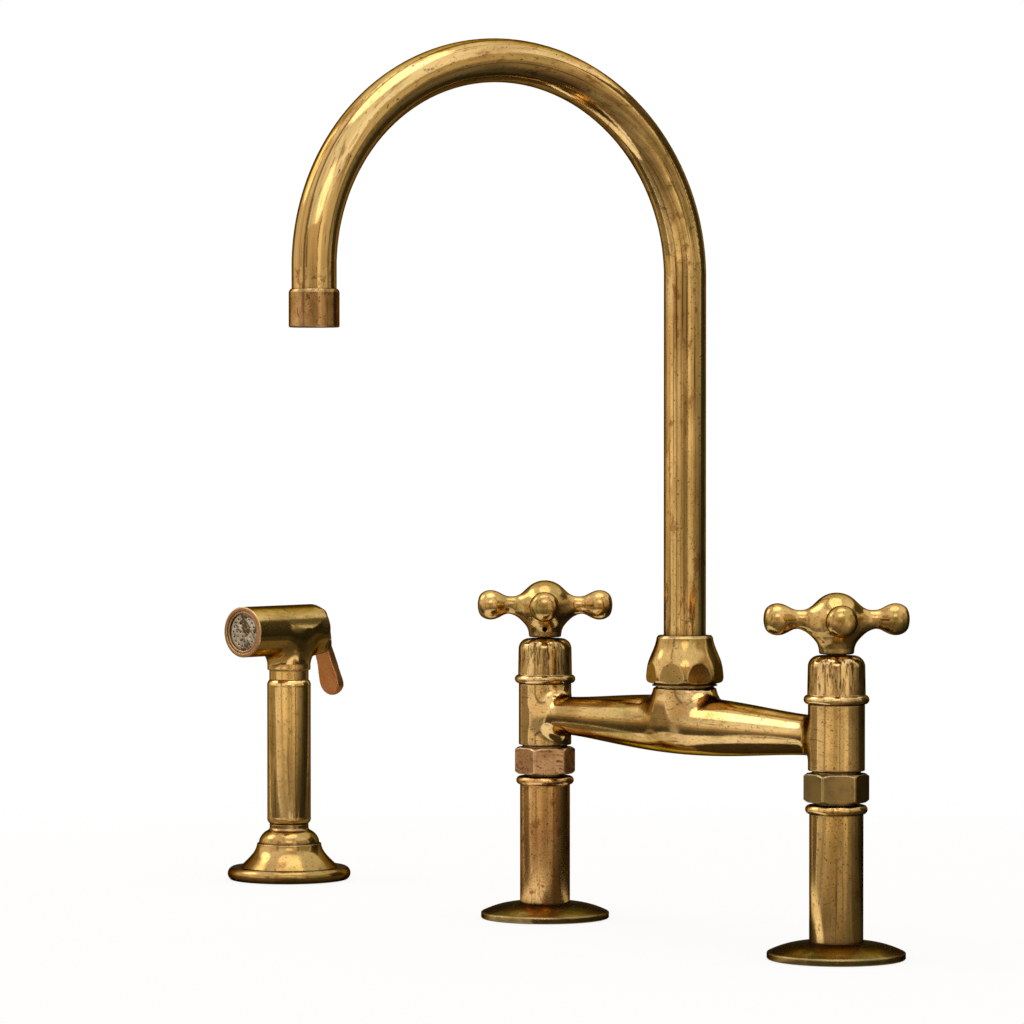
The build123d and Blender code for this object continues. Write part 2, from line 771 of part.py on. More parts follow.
with BuildPart() as spout_nut:
    bulge_low = nut_bottom + 3.2
    bulge_high = nut_bottom + 8.4
    with BuildSketch(half_plane(0, 0)):
        with BuildLine():
            Polyline(
                (nipple_radius + thread_slack, nut_bottom),
                (nut_bulge - 2.6, nut_bottom),
                (nut_bulge - 2.6, nut_bottom + 0.4),
                (nut_bulge - 3.2, nut_bottom + 0.6),
                (nut_bulge - 3.2, nut_bottom + 1.0),
                (nut_bulge - 2.2, nut_bottom + 1.2),
            )
            Spline(
                (nut_bulge - 2.2, nut_bottom + 1.2),
                (nut_bulge - 0.45, bulge_low - 1.3),
                (nut_bulge, (bulge_low + bulge_high) / 2),
                (nut_bulge - 0.9, bulge_high + 2.4),
                (nut_top_radius + 0.55 * (nut_bulge - nut_top_radius), nut_top - 8.4),
                (nut_top_radius + 0.3, nut_top - 0.9),
            )
            Polyline(
                (nut_top_radius + 0.3, nut_top - 0.9),
                (nut_top_radius - 0.4, nut_top),
                (tube_radius + fit_slack, nut_top),
                (tube_radius + fit_slack, bush_high),
                (nut_cavity, bush_high),
                (nut_cavity, nipple_top + edge_break),
                (nipple_radius + thread_slack, nipple_top + edge_break),
                (nipple_radius + thread_slack, nut_bottom),
            )
        make_face()
    revolve(axis=vertical(0, 0))
    # Eight spanner flats cut into the bulge
    with BuildSketch(Plane.XY.offset(nut_bottom)):
        RegularPolygon(nut_flats / 2, 8, major_radius=False, rotation=nut_yaw + 22.5)
    extrude(amount=nut_height, mode=Mode.INTERSECT)
save(spout_nut, "spout_nut")

seat_low = outlet_height + mouth_depth
aerator_top = seat_low + aerator_height
washer_top = aerator_top + aerator_washer_height
with BuildPart() as outlet_ring:
    ring_top = outlet_height + ring_height
    turned(
        0, -reach,
        (mouth_radius, outlet_height),
        (ring_radius - edge_break, outlet_height),
        (ring_radius, outlet_height + edge_break),
        (ring_radius, ring_top - 3 * edge_break),
        (ring_radius - edge_break, ring_top - edge_break),
        (tube_radius + edge_break, ring_top),
        (tube_radius + press_slack, ring_top),
        (tube_radius + press_slack, tube_end - thread_slack),
        (aerator_bore, tube_end - thread_slack),
        (aerator_bore, washer_top),
        (aerator_radius + press_slack, washer_top),
        (aerator_radius + press_slack, seat_low),
        (mouth_radius, seat_low),
    )
save(outlet_ring, "outlet_ring")

with BuildPart() as aerator:
    ring(0, -reach, seat_low, aerator_top, aerator_radius)
    bored(0, -reach, seat_low + screen_thickness, aerator_top, aerator_radius - aerator_wall)
    for count, circle in ((1, 0.0), (6, 0.25), (12, 0.5), (18, 0.75)):
        with BuildSketch(Plane.XY.offset(seat_low)) as holes:
            with Locations((0, -reach)):
                with PolarLocations(circle * aerator_radius, count):
                    Circle(aerator_hole)
        extrude(holes.sketch, amount=screen_thickness, mode=Mode.SUBTRACT)
save(aerator, "aerator")

with BuildPart() as aerator_washer:
    washer_bore = aerator_radius - 2 * aerator_wall
    ring(0, -reach, aerator_top, washer_top, aerator_radius - thread_slack, washer_bore)
save(aerator_washer, "aerator_washer")

# ---------------------------------------------------------------- side spray: holder
guide_top = holder_top - fit_slack
with BuildPart() as spray_holder:
    with BuildSketch(half_plane(spray_x, spray_y)):
        with BuildLine():
            Polyline(
                (cone_foot, holder_rim),
                (holder_radius - holder_rim / 3, holder_rim),
            )
            ThreePointArc(
                (holder_radius - holder_rim / 3, holder_rim),
                (holder_radius, holder_rim / 2),
                (holder_radius - holder_rim / 4, 0),
            )
            Polyline(
                (holder_radius - holder_rim / 4, 0),
                (holder_shank, 0),
                (holder_shank, -holder_tail),
                (guide_radius, -holder_tail),
                (guide_radius, holder_top),
                (cone_top, holder_top),
            )
            Spline(
                (cone_top, holder_top),
                (cone_top + 0.32 * (cone_foot - cone_top), (holder_rim + holder_top) / 2),
                (cone_foot, holder_rim),
                tangents=((0.1, -1), (1, -1.1)),
            )
        make_face()
    revolve(axis=vertical(spray_x, spray_y))
save(spray_holder, "spray_holder")

with BuildPart() as holder_bush:
    bush_radius = guide_radius - press_slack
    ring(spray_x, spray_y, guide_top - guide_length, guide_top, bush_radius, stub_radius + fit_slack)
save(holder_bush, "holder_bush")

with BuildPart() as holder_gasket:
    ring(spray_x, spray_y, gasket_bottom, deck_under, big_gasket_radius, holder_shank + fit_slack)
save(holder_gasket, "holder_gasket")

with BuildPart() as holder_backnut:
    big_backnut_bottom = gasket_bottom - big_backnut_height
    with BuildSketch(Plane.XY.offset(big_backnut_bottom)):
        with Locations((spray_x, spray_y)):
            RegularPolygon(big_backnut_flats / 2, 6, major_radius=False)
    extrude(amount=big_backnut_height)
    bored(spray_x, spray_y, big_backnut_bottom, gasket_bottom, holder_shank + thread_slack)
save(holder_backnut, "holder_backnut")

# ---------------------------------------------------------------- side spray: ferrule and grip
swivel_top = grip_bottom + swivel_length
clip_low = grip_bottom + clip_rise
seal_low = grip_bottom + swivel_seal_rise
seal_root = swivel_radius - ring_section
seal_middle = seal_root + ring_section / 2
stub_end = hose_end + hose_tail_length
with BuildPart() as hose_ferrule:
    ferrule_low = holder_top + thread_slack
    dome_top = ferrule_low + 0.78 * ferrule_rise
    with BuildSketch(half_plane(spray_x, spray_y)):
        with BuildLine():
            Polyline(
                (ferrule_neck, ferrule_top),
                (swivel_radius, ferrule_top),
                (swivel_radius, swivel_top),
                (hose_bore, swivel_top),
                (hose_bore, hose_end),
                (hose_tail_radius, hose_end),
                (hose_tail_radius, stub_end),
                (stub_radius - nut_chamfer, stub_end),
                (stub_radius, stub_end + nut_chamfer),
                (stub_radius, ferrule_low),
                (ferrule_radius, ferrule_low),
            )
            Spline(
                (ferrule_radius, ferrule_low),
                (ferrule_radius - edge_break, ferrule_low + 0.22 * ferrule_rise),
                (ferrule_neck + 0.32 * (ferrule_radius - ferrule_neck), ferrule_low + 0.62 * ferrule_rise),
                (ferrule_neck, dome_top),
                tangents=((0, 1), (-0.4, 1)),
            )
            Line((ferrule_neck, dome_top), (ferrule_neck, ferrule_top))
        make_face()
    revolve(axis=vertical(spray_x, spray_y))
    clip_root = swivel_radius - clip_thickness
    clip_high = clip_low + clip_thickness + thread_slack
    ring(spray_x, spray_y, clip_low, clip_high, swivel_radius + 1, clip_root, Mode.SUBTRACT)
    ring(spray_x, spray_y, seal_low, seal_low + ring_section, swivel_radius + 1, seal_root, Mode.SUBTRACT)
save(hose_ferrule, "hose_ferrule")

with BuildPart() as swivel_seal:
    torus_ring(spray_x, spray_y, seal_low + ring_section / 2, seal_middle, ring_section / 2)
save(swivel_seal, "swivel_seal")

with BuildPart() as swivel_clip:
    clip_edge = swivel_radius + clip_thickness
    clip_seat = clip_low + press_slack
    ring(spray_x, spray_y, clip_seat, clip_seat + clip_thickness, clip_edge, clip_root + press_slack)
save(swivel_clip, "swivel_clip")

with BuildPart() as spray_grip:
    bottom_wall = clip_low - fit_slack
    with BuildSketch(half_plane(spray_x, spray_y)):
        with BuildLine():
            Polyline(
                (grip_radius, grip_top - grip_round),
                (grip_radius, grip_bottom + grip_round),
            )
            ThreePointArc(
                (grip_radius, grip_bottom + grip_round),
                (grip_radius - 0.12 * grip_round, grip_bottom + 0.3 * grip_round),
                (grip_radius - 0.38 * grip_round, grip_bottom),
            )
            Polyline(
                (grip_radius - 0.38 * grip_round, grip_bottom),
                (swivel_radius + running_slack, grip_bottom),
                (swivel_radius + running_slack, bottom_wall),
                (grip_bore, bottom_wall),
                (grip_bore, grip_top),
                (grip_radius - 0.31 * grip_round, grip_top),
            )
            ThreePointArc(
                (grip_radius - 0.31 * grip_round, grip_top),
                (grip_radius - 0.1 * grip_round, grip_top - 0.3 * grip_round),
                (grip_radius, grip_top - grip_round),
            )
        make_face()
    revolve(axis=vertical(spray_x, spray_y))
save(spray_grip, "spray_grip")

# ---------------------------------------------------------------- side spray: head
spigot_low = grip_top - head_spigot
barrel_foot = barrel_level - barrel_radius
with BuildPart() as spray_head:
    turned(
        spray_x, spray_y,
        (0, spigot_low),
        (grip_bore - press_slack, spigot_low),
        (grip_bore - press_slack, grip_top + thread_slack),
        (neck_root, grip_top + thread_slack),
        (neck_root, head_foot - edge_break),
        (neck_foot - edge_break, head_foot - edge_break),
        (neck_foot, head_foot),
        (neck_foot, head_foot + 0.14 * barrel_rise),
        (neck_foot + 0.3 * neck_flare, head_foot + 0.24 * barrel_rise),
        (neck_foot + neck_flare, barrel_foot + 0.1 * barrel_rise),
        (neck_foot + neck_flare, barrel_level),
        (0, barrel_level),
    )
    rod(-barrel_back, barrel_front, barrel_radius, level=barrel_level)
    rims = spray_head.edges().filter_by(GeomType.CIRCLE)
    rims = [e for e in rims if abs(e.radius - barrel_radius) < 0.01]
    fillet(sorted(rims, key=forward)[:1], barrel_round)
    # Housing behind the barrel that carries the trigger lever between two cheeks
    inside = barrel_back - 2 * cheek_thickness
    housing_top = 0.72 * barrel_radius
    with BuildSketch(lying_plane(spray_x, spray_y, barrel_level, (-aim[0], -aim[1]))) as side_view:
        with BuildLine():
            housing_back = pivot_back + housing_overhang
            Polyline(
                (inside, -0.98 * barrel_radius),
                (housing_back - 0.6 * housing_overhang, -0.9 * barrel_radius),
                (housing_back, -0.76 * barrel_radius),
            )
            Spline(
                (housing_back, -0.76 * barrel_radius),
                (housing_back - 0.25 * housing_overhang, -0.2 * barrel_radius),
                (housing_back - 1.3 * housing_overhang, 0.38 * barrel_radius),
                (barrel_back - 0.3 * barrel_round, housing_top),
                tangents=((0, 1), (-1, 1)),
            )
            Polyline(
                (barrel_back - 0.3 * barrel_round, housing_top),
                (inside, housing_top),
                (inside, -0.98 * barrel_radius),
            )
        make_face()
    extrude(side_view.sketch, amount=cheek, both=True)
    # Slot for the lever
    with BuildSketch(lying_plane(spray_x, spray_y, barrel_level, (-aim[0], -aim[1]))) as slot_view:
        with Locations((barrel_back + fit_slack, slot_rise - pivot_drop)):
            Rectangle(pivot_back, barrel_rise, align=(Align.MIN, Align.MAX))
    extrude(slot_view.sketch, amount=trigger_slot, both=True, mode=Mode.SUBTRACT)
    # Waterway: up the neck, through the valve's throat, into the rose chamber
    bored(spray_x, spray_y, spigot_low, stem_level + seat_radius, port_bore)
    rod(chamber_back, barrel_front, barrel_bore, level=barrel_level, mode=Mode.SUBTRACT)
    rod(rose_seat, barrel_front, rose_edge + press_slack, level=barrel_level, mode=Mode.SUBTRACT)
    rod(0, chamber_back + seat_length, seat_radius + press_slack, level=stem_level, mode=Mode.SUBTRACT)
    rod(gland_back, 0, stem_radius + running_slack, level=stem_level, mode=Mode.SUBTRACT)
    rod(-2 * barrel_back, gland_back, valve_bore, level=stem_level, mode=Mode.SUBTRACT)
    # Cross hole for the pivot pin
    pivot_x = spray_x - aim[0] * pivot_back
    pivot_y = spray_y - aim[1] * pivot_back
    pin_place = Plane(origin=(pivot_x, pivot_y, pivot_level), x_dir=(0, 0, 1), z_dir=(*across, 0))
    with BuildSketch(pin_place) as pin_hole:
        Circle(pin_radius)
    extrude(pin_hole.sketch, amount=2 * cheek, both=True, mode=Mode.SUBTRACT)
save(spray_head, "spray_head")

with BuildPart() as grip_seal:
    washer_low = spigot_low - washer_height
    ring(spray_x, spray_y, washer_low, spigot_low, grip_bore - thread_slack, port_bore + fit_slack)
save(grip_seal, "grip_seal")

with BuildPart() as trigger_pin:
    with BuildSketch(pin_place) as pin_end:
        Circle(pin_radius)
    extrude(pin_end.sketch, amount=cheek - fit_slack, both=True)
save(trigger_pin, "trigger_pin")

with BuildPart() as rose_ring:
    rod(rose_seat, barrel_front - fit_slack, rose_edge, rose_radius - rose_lip, level=barrel_level)
    rod(rose_seat, rose_face, rose_radius + press_slack, level=barrel_level, mode=Mode.SUBTRACT)
    rims = rose_ring.edges().filter_by(GeomType.CIRCLE)
    rims = [e for e in rims if abs(e.radius - rose_edge) < 0.01]
    fillet(sorted(rims, key=forward)[-1:], 0.6 * rose_lip)
save(rose_ring, "rose_ring")

with BuildPart() as rose_plate:
    rod(rose_back, rose_face, rose_radius, level=barrel_level)
    rose_place = Plane(
        origin=(spray_x + aim[0] * rose_face, spray_y + aim[1] * rose_face, barrel_level),
        x_dir=(*across, 0),
        z_dir=(*aim, 0),
    )
    for count, circle in ((1, 0.0), (6, 0.24), (12, 0.48), (18, 0.72)):
        with BuildSketch(rose_place) as jets:
            with PolarLocations(circle * rose_radius, count):
                Circle(jet_radius)
        extrude(jets.sketch, amount=-2 * rose_thickness, mode=Mode.SUBTRACT)
save(rose_plate, "rose_plate")

with BuildPart() as rose_seal:
    rod(rose_seat, rose_back, rose_radius, rose_radius - rose_seal_width, level=barrel_level)
save(rose_seal, "rose_seal")

# ---------------------------------------------------------------- side spray: valve and trigger
with BuildPart() as valve_seat:
    rod(seat_front - seat_length, seat_front, seat_radius, throat_bore, level=stem_level)
save(valve_seat, "valve_seat")

washer_front = seat_front + press_slack + ring_section
plate_front = washer_front + ring_section / 2
collar_front = spring_seat + collar_thickness - barrel_back
with BuildPart() as valve_stem:
    stem_tip = fit_slack + lever_seat - pivot_back
    rod(stem_tip, plate_front, stem_radius, level=stem_level)
    rod(collar_front - collar_thickness, collar_front, valve_bore - fit_slack, level=stem_level)
    rod(washer_front, plate_front, valve_bore, level=stem_level)
    fillet(sorted(valve_stem.edges().filter_by(GeomType.CIRCLE), key=forward)[:1], 0.8 * stem_radius)
save(valve_stem, "valve_stem")

with BuildPart() as valve_washer:
    rod(seat_front + press_slack, washer_front, valve_bore, stem_radius + press_slack, level=stem_level)
save(valve_washer, "valve_washer")

with BuildPart() as valve_spring:
    start = collar_front + thread_slack + spring_wire
    coil_length = gland_back - thread_slack - spring_wire - start
    with BuildLine() as coil:
        Helix(
            pitch=coil_length / spring_turns,
            height=coil_length,
            radius=spring_radius,
            center=(spray_x + aim[0] * start, spray_y + aim[1] * start, stem_level),
            direction=(*aim, 0),
        )
    with BuildSketch(Plane(origin=coil.line @ 0, z_dir=coil.line % 0)):
        Circle(spring_wire)
    sweep(is_frenet=True)
save(valve_spring, "valve_spring")

with BuildPart() as trigger_lever:
    # Side view, measured backwards and upwards from the pivot
    half = lever_thickness / 2
    with BuildSketch(lying_plane(pivot_x, pivot_y, pivot_level, (-aim[0], -aim[1]))) as lever_view:
        with BuildLine():
            Spline(
                (-half, 0),
                (-lever_seat, stem_level - pivot_level),
                (2.2, -9.6),
                (5.6, -0.62 * paddle_length),
                (7.9, -0.88 * paddle_length),
                (9.7, -paddle_length),
                (11.6, -0.92 * paddle_length),
                (10.6, -0.66 * paddle_length),
                (8.6, -0.44 * paddle_length),
                (5.3, -6.2),
                (half + 0.2, -0.6),
            )
            ThreePointArc((half + 0.2, -0.6), (0, half + 0.1), (-half, 0))
        make_face()
    extrude(lever_view.sketch, amount=paddle_width, both=True)
    # Front view: as wide as its slot, then a paddle with a round end
    lever_front = Plane(origin=(pivot_x, pivot_y, pivot_level), x_dir=(*across, 0), z_dir=(*aim, 0))
    slot_side = lever_width / 2
    paddle_side = paddle_width / 2
    paddle_low = barrel_radius - pivot_drop + paddle_gap
    paddle_round = paddle_side - paddle_length
    with BuildSketch(lever_front) as front_view:
        with BuildLine():
            Polyline((-slot_side, -paddle_low), (-slot_side, lever_width), (slot_side, lever_width))
            Line((slot_side, lever_width), (slot_side, -paddle_low))
            Spline(
                (slot_side, -paddle_low),
                (paddle_side, paddle_round),
                tangents=((0, -1), (0, -1)),
            )
            ThreePointArc((paddle_side, paddle_round), (0, -paddle_length), (-paddle_side, paddle_round))
            Spline(
                (-paddle_side, paddle_round),
                (-slot_side, -paddle_low),
                tangents=((0, 1), (0, 1)),
            )
        make_face()
    extrude(front_view.sketch, amount=paddle_length, both=True, mode=Mode.INTERSECT)
    with BuildSketch(pin_place) as lever_hole:
        Circle(pin_radius + running_slack)
    extrude(lever_hole.sketch, amount=lever_width, both=True, mode=Mode.SUBTRACT)
save(trigger_lever, "trigger_lever")
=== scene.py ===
import json
import math

import bmesh
import bpy
import numpy as np
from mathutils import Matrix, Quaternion, Vector


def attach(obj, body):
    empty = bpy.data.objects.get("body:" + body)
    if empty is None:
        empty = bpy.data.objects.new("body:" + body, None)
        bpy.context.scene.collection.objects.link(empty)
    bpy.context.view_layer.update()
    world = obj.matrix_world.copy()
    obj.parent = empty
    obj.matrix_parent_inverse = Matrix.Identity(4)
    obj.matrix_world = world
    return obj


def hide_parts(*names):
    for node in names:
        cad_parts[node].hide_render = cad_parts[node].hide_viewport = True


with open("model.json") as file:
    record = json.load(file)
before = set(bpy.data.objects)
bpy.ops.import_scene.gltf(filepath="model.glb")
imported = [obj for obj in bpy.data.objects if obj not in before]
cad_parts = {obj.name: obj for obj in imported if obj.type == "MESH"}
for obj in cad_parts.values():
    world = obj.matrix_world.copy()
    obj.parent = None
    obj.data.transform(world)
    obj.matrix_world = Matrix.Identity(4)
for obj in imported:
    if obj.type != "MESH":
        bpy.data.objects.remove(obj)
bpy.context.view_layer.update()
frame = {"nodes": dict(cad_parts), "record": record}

print("frame loaded", len(frame["nodes"]), "nodes")

# camera, fitted to the outlines in the photograph
shot = {
    "azimuth": 52.249,  # degrees from straight in front of the bridge
    "pitch": 0.98,  # degrees downwards
    "distance": 1.945133,  # metres from the point it aims at
    "across": -0.077683,  # that point, metres to the camera's right of the bridge's middle
    "up": 0.191347,  # and metres above the deck
    "lens": 152.19,  # mm
    "sensor": 36.0,  # mm
    "near": 0.05,
    "far": 60.0,
}


def newThing(name, data):
    thing = bpy.data.objects.new(name, data)
    bpy.context.scene.collection.objects.link(thing)
    return thing


turn = math.radians(shot["azimuth"])
tilt = math.radians(shot["pitch"])
toCamera = Vector(
    (math.sin(turn) * math.cos(tilt), -math.cos(turn) * math.cos(tilt), math.sin(tilt))
)
toRight = (-toCamera).cross(Vector((0, 0, 1))).normalized()
aimPoint = toRight * shot["across"] + Vector((0, 0, shot["up"]))
cameraData = bpy.data.cameras.new("shotCamera")
cameraData.lens = shot["lens"]
cameraData.sensor_width = shot["sensor"]
cameraData.clip_start = shot["near"]
cameraData.clip_end = shot["far"]
camera = newThing("shotCamera", cameraData)
camera.location = aimPoint + toCamera * shot["distance"]
camera.rotation_euler = (-toCamera).to_track_quat("-Z", "Y").to_euler()
bpy.context.scene.camera = camera
bpy.context.scene.view_settings.view_transform = "Standard"


def linear(code):
    # sRGB hex to the linear colour that a socket takes
    out = []
    for at in (0, 2, 4):
        part = int(code[at : at + 2], 16) / 255
        out.append(part / 12.92 if part <= 0.04045 else ((part + 0.055) / 1.055) ** 2.4)
    return (*out, 1.0)


def add(tree, kind, sockets, **settings):
    made = tree.nodes.new("ShaderNode" + kind)
    for name, value in settings.items():
        setattr(made, name, value)
    for name, value in sockets.items():
        if isinstance(value, bpy.types.NodeSocket):
            tree.links.new(value, made.inputs[name])
        else:
            made.inputs[name].default_value = value
    return made


def emptyTree(owner):
    owner.use_nodes = True
    owner.node_tree.nodes.clear()
    return owner.node_tree


# Layers of age that the brass recipes share. size is one mark's size in mm along x, y and z, low
# and high are where it starts and where it is full, amount is how much it covers, and rough is
# what it adds to the roughness. Runs, scratches and specks are finer in truth than drawn here,
# because they wouldn't show at the size of the picture.
patches = {  # broad clouds of thicker tarnish
    "size": (26, 26, 40), "tint": "9a7440", "low": 0.42, "high": 0.66, "amount": 0.7,
    "rough": 0.05,
}
olive = {  # green-brown tarnish, slower and wider
    "size": (34, 34, 60), "tint": "8d8342", "low": 0.45, "high": 0.68, "amount": 0.6,
    "rough": 0.03, "seed": 3.1,
}
blush = {  # pink where water took the zinc
    "size": (15, 15, 26), "tint": "bf8a63", "low": 0.52, "high": 0.72, "amount": 0.6,
    "rough": 0.06, "seed": 7.7,
}
drips = {  # brown runs of dried water
    "size": (1.5, 1.5, 34), "tint": "6b4a20", "low": 0.52, "high": 0.72, "amount": 0.6,
    "rough": 0.05, "seed": 1.9,
}
wipes = {  # paths of the cloth, brighter and smoother
    "size": (2.6, 2.6, 55), "tint": "e6c683", "low": 0.5, "high": 0.72, "amount": 0.5,
    "rough": -0.04, "seed": 5.3,
}
specks = {  # dark pits
    "size": (0.9, 0.9, 1.0), "tint": "4a2f12", "low": 0.64, "high": 0.74, "amount": 0.8,
    "rough": 0.2, "seed": 2.2, "detail": 1.0,
}
freckles = {  # red-brown crusts with ragged rims
    "size": (4.5, 4.5, 6.0), "tint": "7d4a22", "low": 0.53, "high": 0.66, "amount": 0.6,
    "rough": 0.1, "seed": 6.6, "grit": 0.72,
}
strokes = {  # short scratches round the tube
    "size": (4.0, 4.0, 0.5), "tint": "6a4420", "low": 0.58, "high": 0.7, "amount": 0.5,
    "rough": 0.08, "seed": 9.1, "detail": 3.0,
}
blots = {  # spots where drops dried
    "size": (3.2, 3.2, 4.5), "tint": "5f4222", "low": 0.62, "high": 0.74, "amount": 0.7,
    "rough": 0.14, "seed": 8.4,
}
plainLayer = {"seed": 0.0, "detail": 7.0, "grit": 0.62, "twist": 0.4}

# what every brass recipe has unless it says otherwise; lengths in mm
plainRecipe = {
    "bent": False,  # True where the marks follow the gooseneck's bend
    "lying": "",  # axis that the marks run along, when it isn't z
    "ease": 0.7, "wear": 0.7, "rub": "f0d49a",  # edges rubbed bright
    "reach": 5.0, "dirtAndShade": 0.8, "grimeAndShade": "2c2110", "dirtRough": 0.18,  # dirt and painted shade left in creases
    "wave": 11.0, "waveDepth": 0.03,  # slow waves that hand polishing leaves
    "pit": 0.7, "pitDepth": 0.006,  # drawn as coarse as shows
    "edge": "7c705a",  # tint at a glancing look
}
edgeLean = (0.9992, 0.975)  # cosine between face and eased corner: flat, then fully rubbed
creaseOpen = (0.95, 0.35)  # openness to the room: clean, then full of dirt and painted shade
gooseneck = {"bendFrom": 0.2965, "half": 0.1017, "rise": 0.0919}  # metres


def metal(name, recipe):
    recipe = {**plainRecipe, **recipe}
    made = bpy.data.materials.new(name)
    tree = emptyTree(made)
    spot = add(tree, "TexCoord", {}).outputs["Object"]
    place = spot
    if recipe["bent"]:
        # the distance from the gooseneck's centre stands for y, so marks run along the bend
        half, rise = gooseneck["half"], gooseneck["rise"]
        axes = add(tree, "SeparateXYZ", {"Vector": spot}).outputs
        over = add(tree, "Math", {0: axes["Z"], 1: gooseneck["bendFrom"]}, operation="SUBTRACT")
        lift = add(tree, "Math", {0: over.outputs[0], 1: half / rise}, operation="MULTIPLY")
        above = add(tree, "Math", {0: lift.outputs[0], 1: 0.0}, operation="MAXIMUM").outputs[0]
        aside = add(tree, "Math", {0: axes["Y"], 1: half}, operation="ADD").outputs[0]
        plane = add(tree, "CombineXYZ", {"X": above, "Y": aside, "Z": 0.0})
        away = add(tree, "VectorMath", {0: plane.outputs[0]}, operation="LENGTH")
        swing = add(tree, "Math", {0: above, 1: aside}, operation="ARCTAN2")
        along = add(
            tree, "Math", {0: swing.outputs[0], 1: half, 2: axes["Z"]}, operation="MULTIPLY_ADD"
        )
        place = add(
            tree, "CombineXYZ",
            {"X": axes["X"], "Y": away.outputs["Value"], "Z": along.outputs[0]},
        ).outputs[0]
    colour = linear(recipe["metal"])
    rough = recipe["rough"]
    for layer in recipe["layers"]:
        layer = {**plainLayer, **layer}
        wide, thick, tall = layer["size"]
        size = {"": (wide, thick, tall), "X": (tall, wide, thick), "Y": (wide, tall, thick)}
        seat = add(
            tree, "Mapping",
            {
                "Vector": place,
                "Location": (layer["seed"], layer["seed"] * 2, 0.0),
                "Scale": tuple(1000 / s for s in size[recipe["lying"]]),
            },
        )
        cloud = add(
            tree, "TexNoise",
            {
                "Vector": seat.outputs[0],
                "Scale": 1.0,
                "Detail": layer["detail"],
                "Roughness": layer["grit"],
                "Distortion": layer["twist"],
            },
        )
        mask = add(
            tree, "MapRange",
            {
                "Value": cloud.outputs[0],
                "From Min": layer["low"],
                "From Max": layer["high"],
                "To Min": 0.0,
                "To Max": layer["amount"],
            },
            interpolation_type="SMOOTHSTEP",
        ).outputs[0]
        if "fade" in layer:
            # none of the layer at the first height, all of it at the second
            axis, start, end = layer["fade"]
            split = add(tree, "SeparateXYZ", {"Vector": spot})
            ease = add(
                tree, "MapRange",
                {"Value": split.outputs[axis], "From Min": start / 1000, "From Max": end / 1000},
                interpolation_type="SMOOTHSTEP",
            )
            mask = add(tree, "Math", {0: mask, 1: ease.outputs[0]}, operation="MULTIPLY").outputs[0]
        colour = add(
            tree, "Mix", {0: mask, 6: colour, 7: linear(layer["tint"])}, data_type="RGBA"
        ).outputs[2]
        rough = add(
            tree, "Math", {0: mask, 1: layer["rough"], 2: rough}, operation="MULTIPLY_ADD"
        ).outputs[0]
    # rubbed edges: where the eased corner leans away from the flat, the metal is bright
    eased = add(tree, "Bevel", {"Radius": recipe["ease"] / 1000}, samples=4).outputs[0]
    bare = add(tree, "NewGeometry", {}).outputs["Normal"]
    lean = add(tree, "VectorMath", {0: eased, 1: bare}, operation="DOT_PRODUCT")
    worn = add(
        tree, "MapRange",
        {
            "Value": lean.outputs["Value"],
            "From Min": edgeLean[0],
            "From Max": edgeLean[1],
            "To Min": 0.0,
            "To Max": recipe["wear"],
        },
        interpolation_type="SMOOTHSTEP",
    ).outputs[0]
    colour = add(
        tree, "Mix", {0: worn, 6: colour, 7: linear(recipe["rub"])}, data_type="RGBA"
    ).outputs[2]
    # dirt left by polishing, and painted shade: every crease is darker where the room is hidden
    # from it
    crease = add(tree, "AmbientOcclusion", {"Distance": recipe["reach"] / 1000}, samples=4)
    dirtAndShade = add(
        tree, "MapRange",
        {
            "Value": crease.outputs["AO"],
            "From Min": creaseOpen[0],
            "From Max": creaseOpen[1],
            "To Min": 0.0,
            "To Max": recipe["dirtAndShade"],
        },
        interpolation_type="SMOOTHSTEP",
    ).outputs[0]
    colour = add(
        tree, "Mix", {0: dirtAndShade, 6: colour, 7: linear(recipe["grimeAndShade"])}, data_type="RGBA"
    ).outputs[2]
    rough = add(
        tree, "Math", {0: dirtAndShade, 1: recipe["dirtRough"], 2: rough}, operation="MULTIPLY_ADD"
    ).outputs[0]
    # waves first, then pits; both are longer upright than across
    height = eased
    relief = ((recipe["wave"], recipe["waveDepth"], 0.0), (recipe["pit"], recipe["pitDepth"], 4.0))
    for size, deep, seed in relief:
        seat = add(
            tree, "Mapping",
            {
                "Vector": place,
                "Location": (seed, seed, seed),
                "Scale": (1000 / size, 1000 / size, 600 / size),
            },
        )
        cloud = add(
            tree, "TexNoise",
            {"Vector": seat.outputs[0], "Scale": 1.0, "Detail": 1.5, "Roughness": 0.5},
        )
        height = add(
            tree, "Bump",
            {
                "Height": cloud.outputs[0],
                "Strength": 1.0,
                "Distance": deep / 1000,
                "Normal": height,
            },
        ).outputs[0]
    shader = add(
        tree, "BsdfPrincipled",
        {
            "Base Color": colour,
            "Metallic": 1.0,
            "Roughness": rough,
            "Specular Tint": linear(recipe["edge"]),
            "Normal": height,
        },
    )
    add(tree, "OutputMaterial", {"Surface": shader.outputs[0]})
    return made


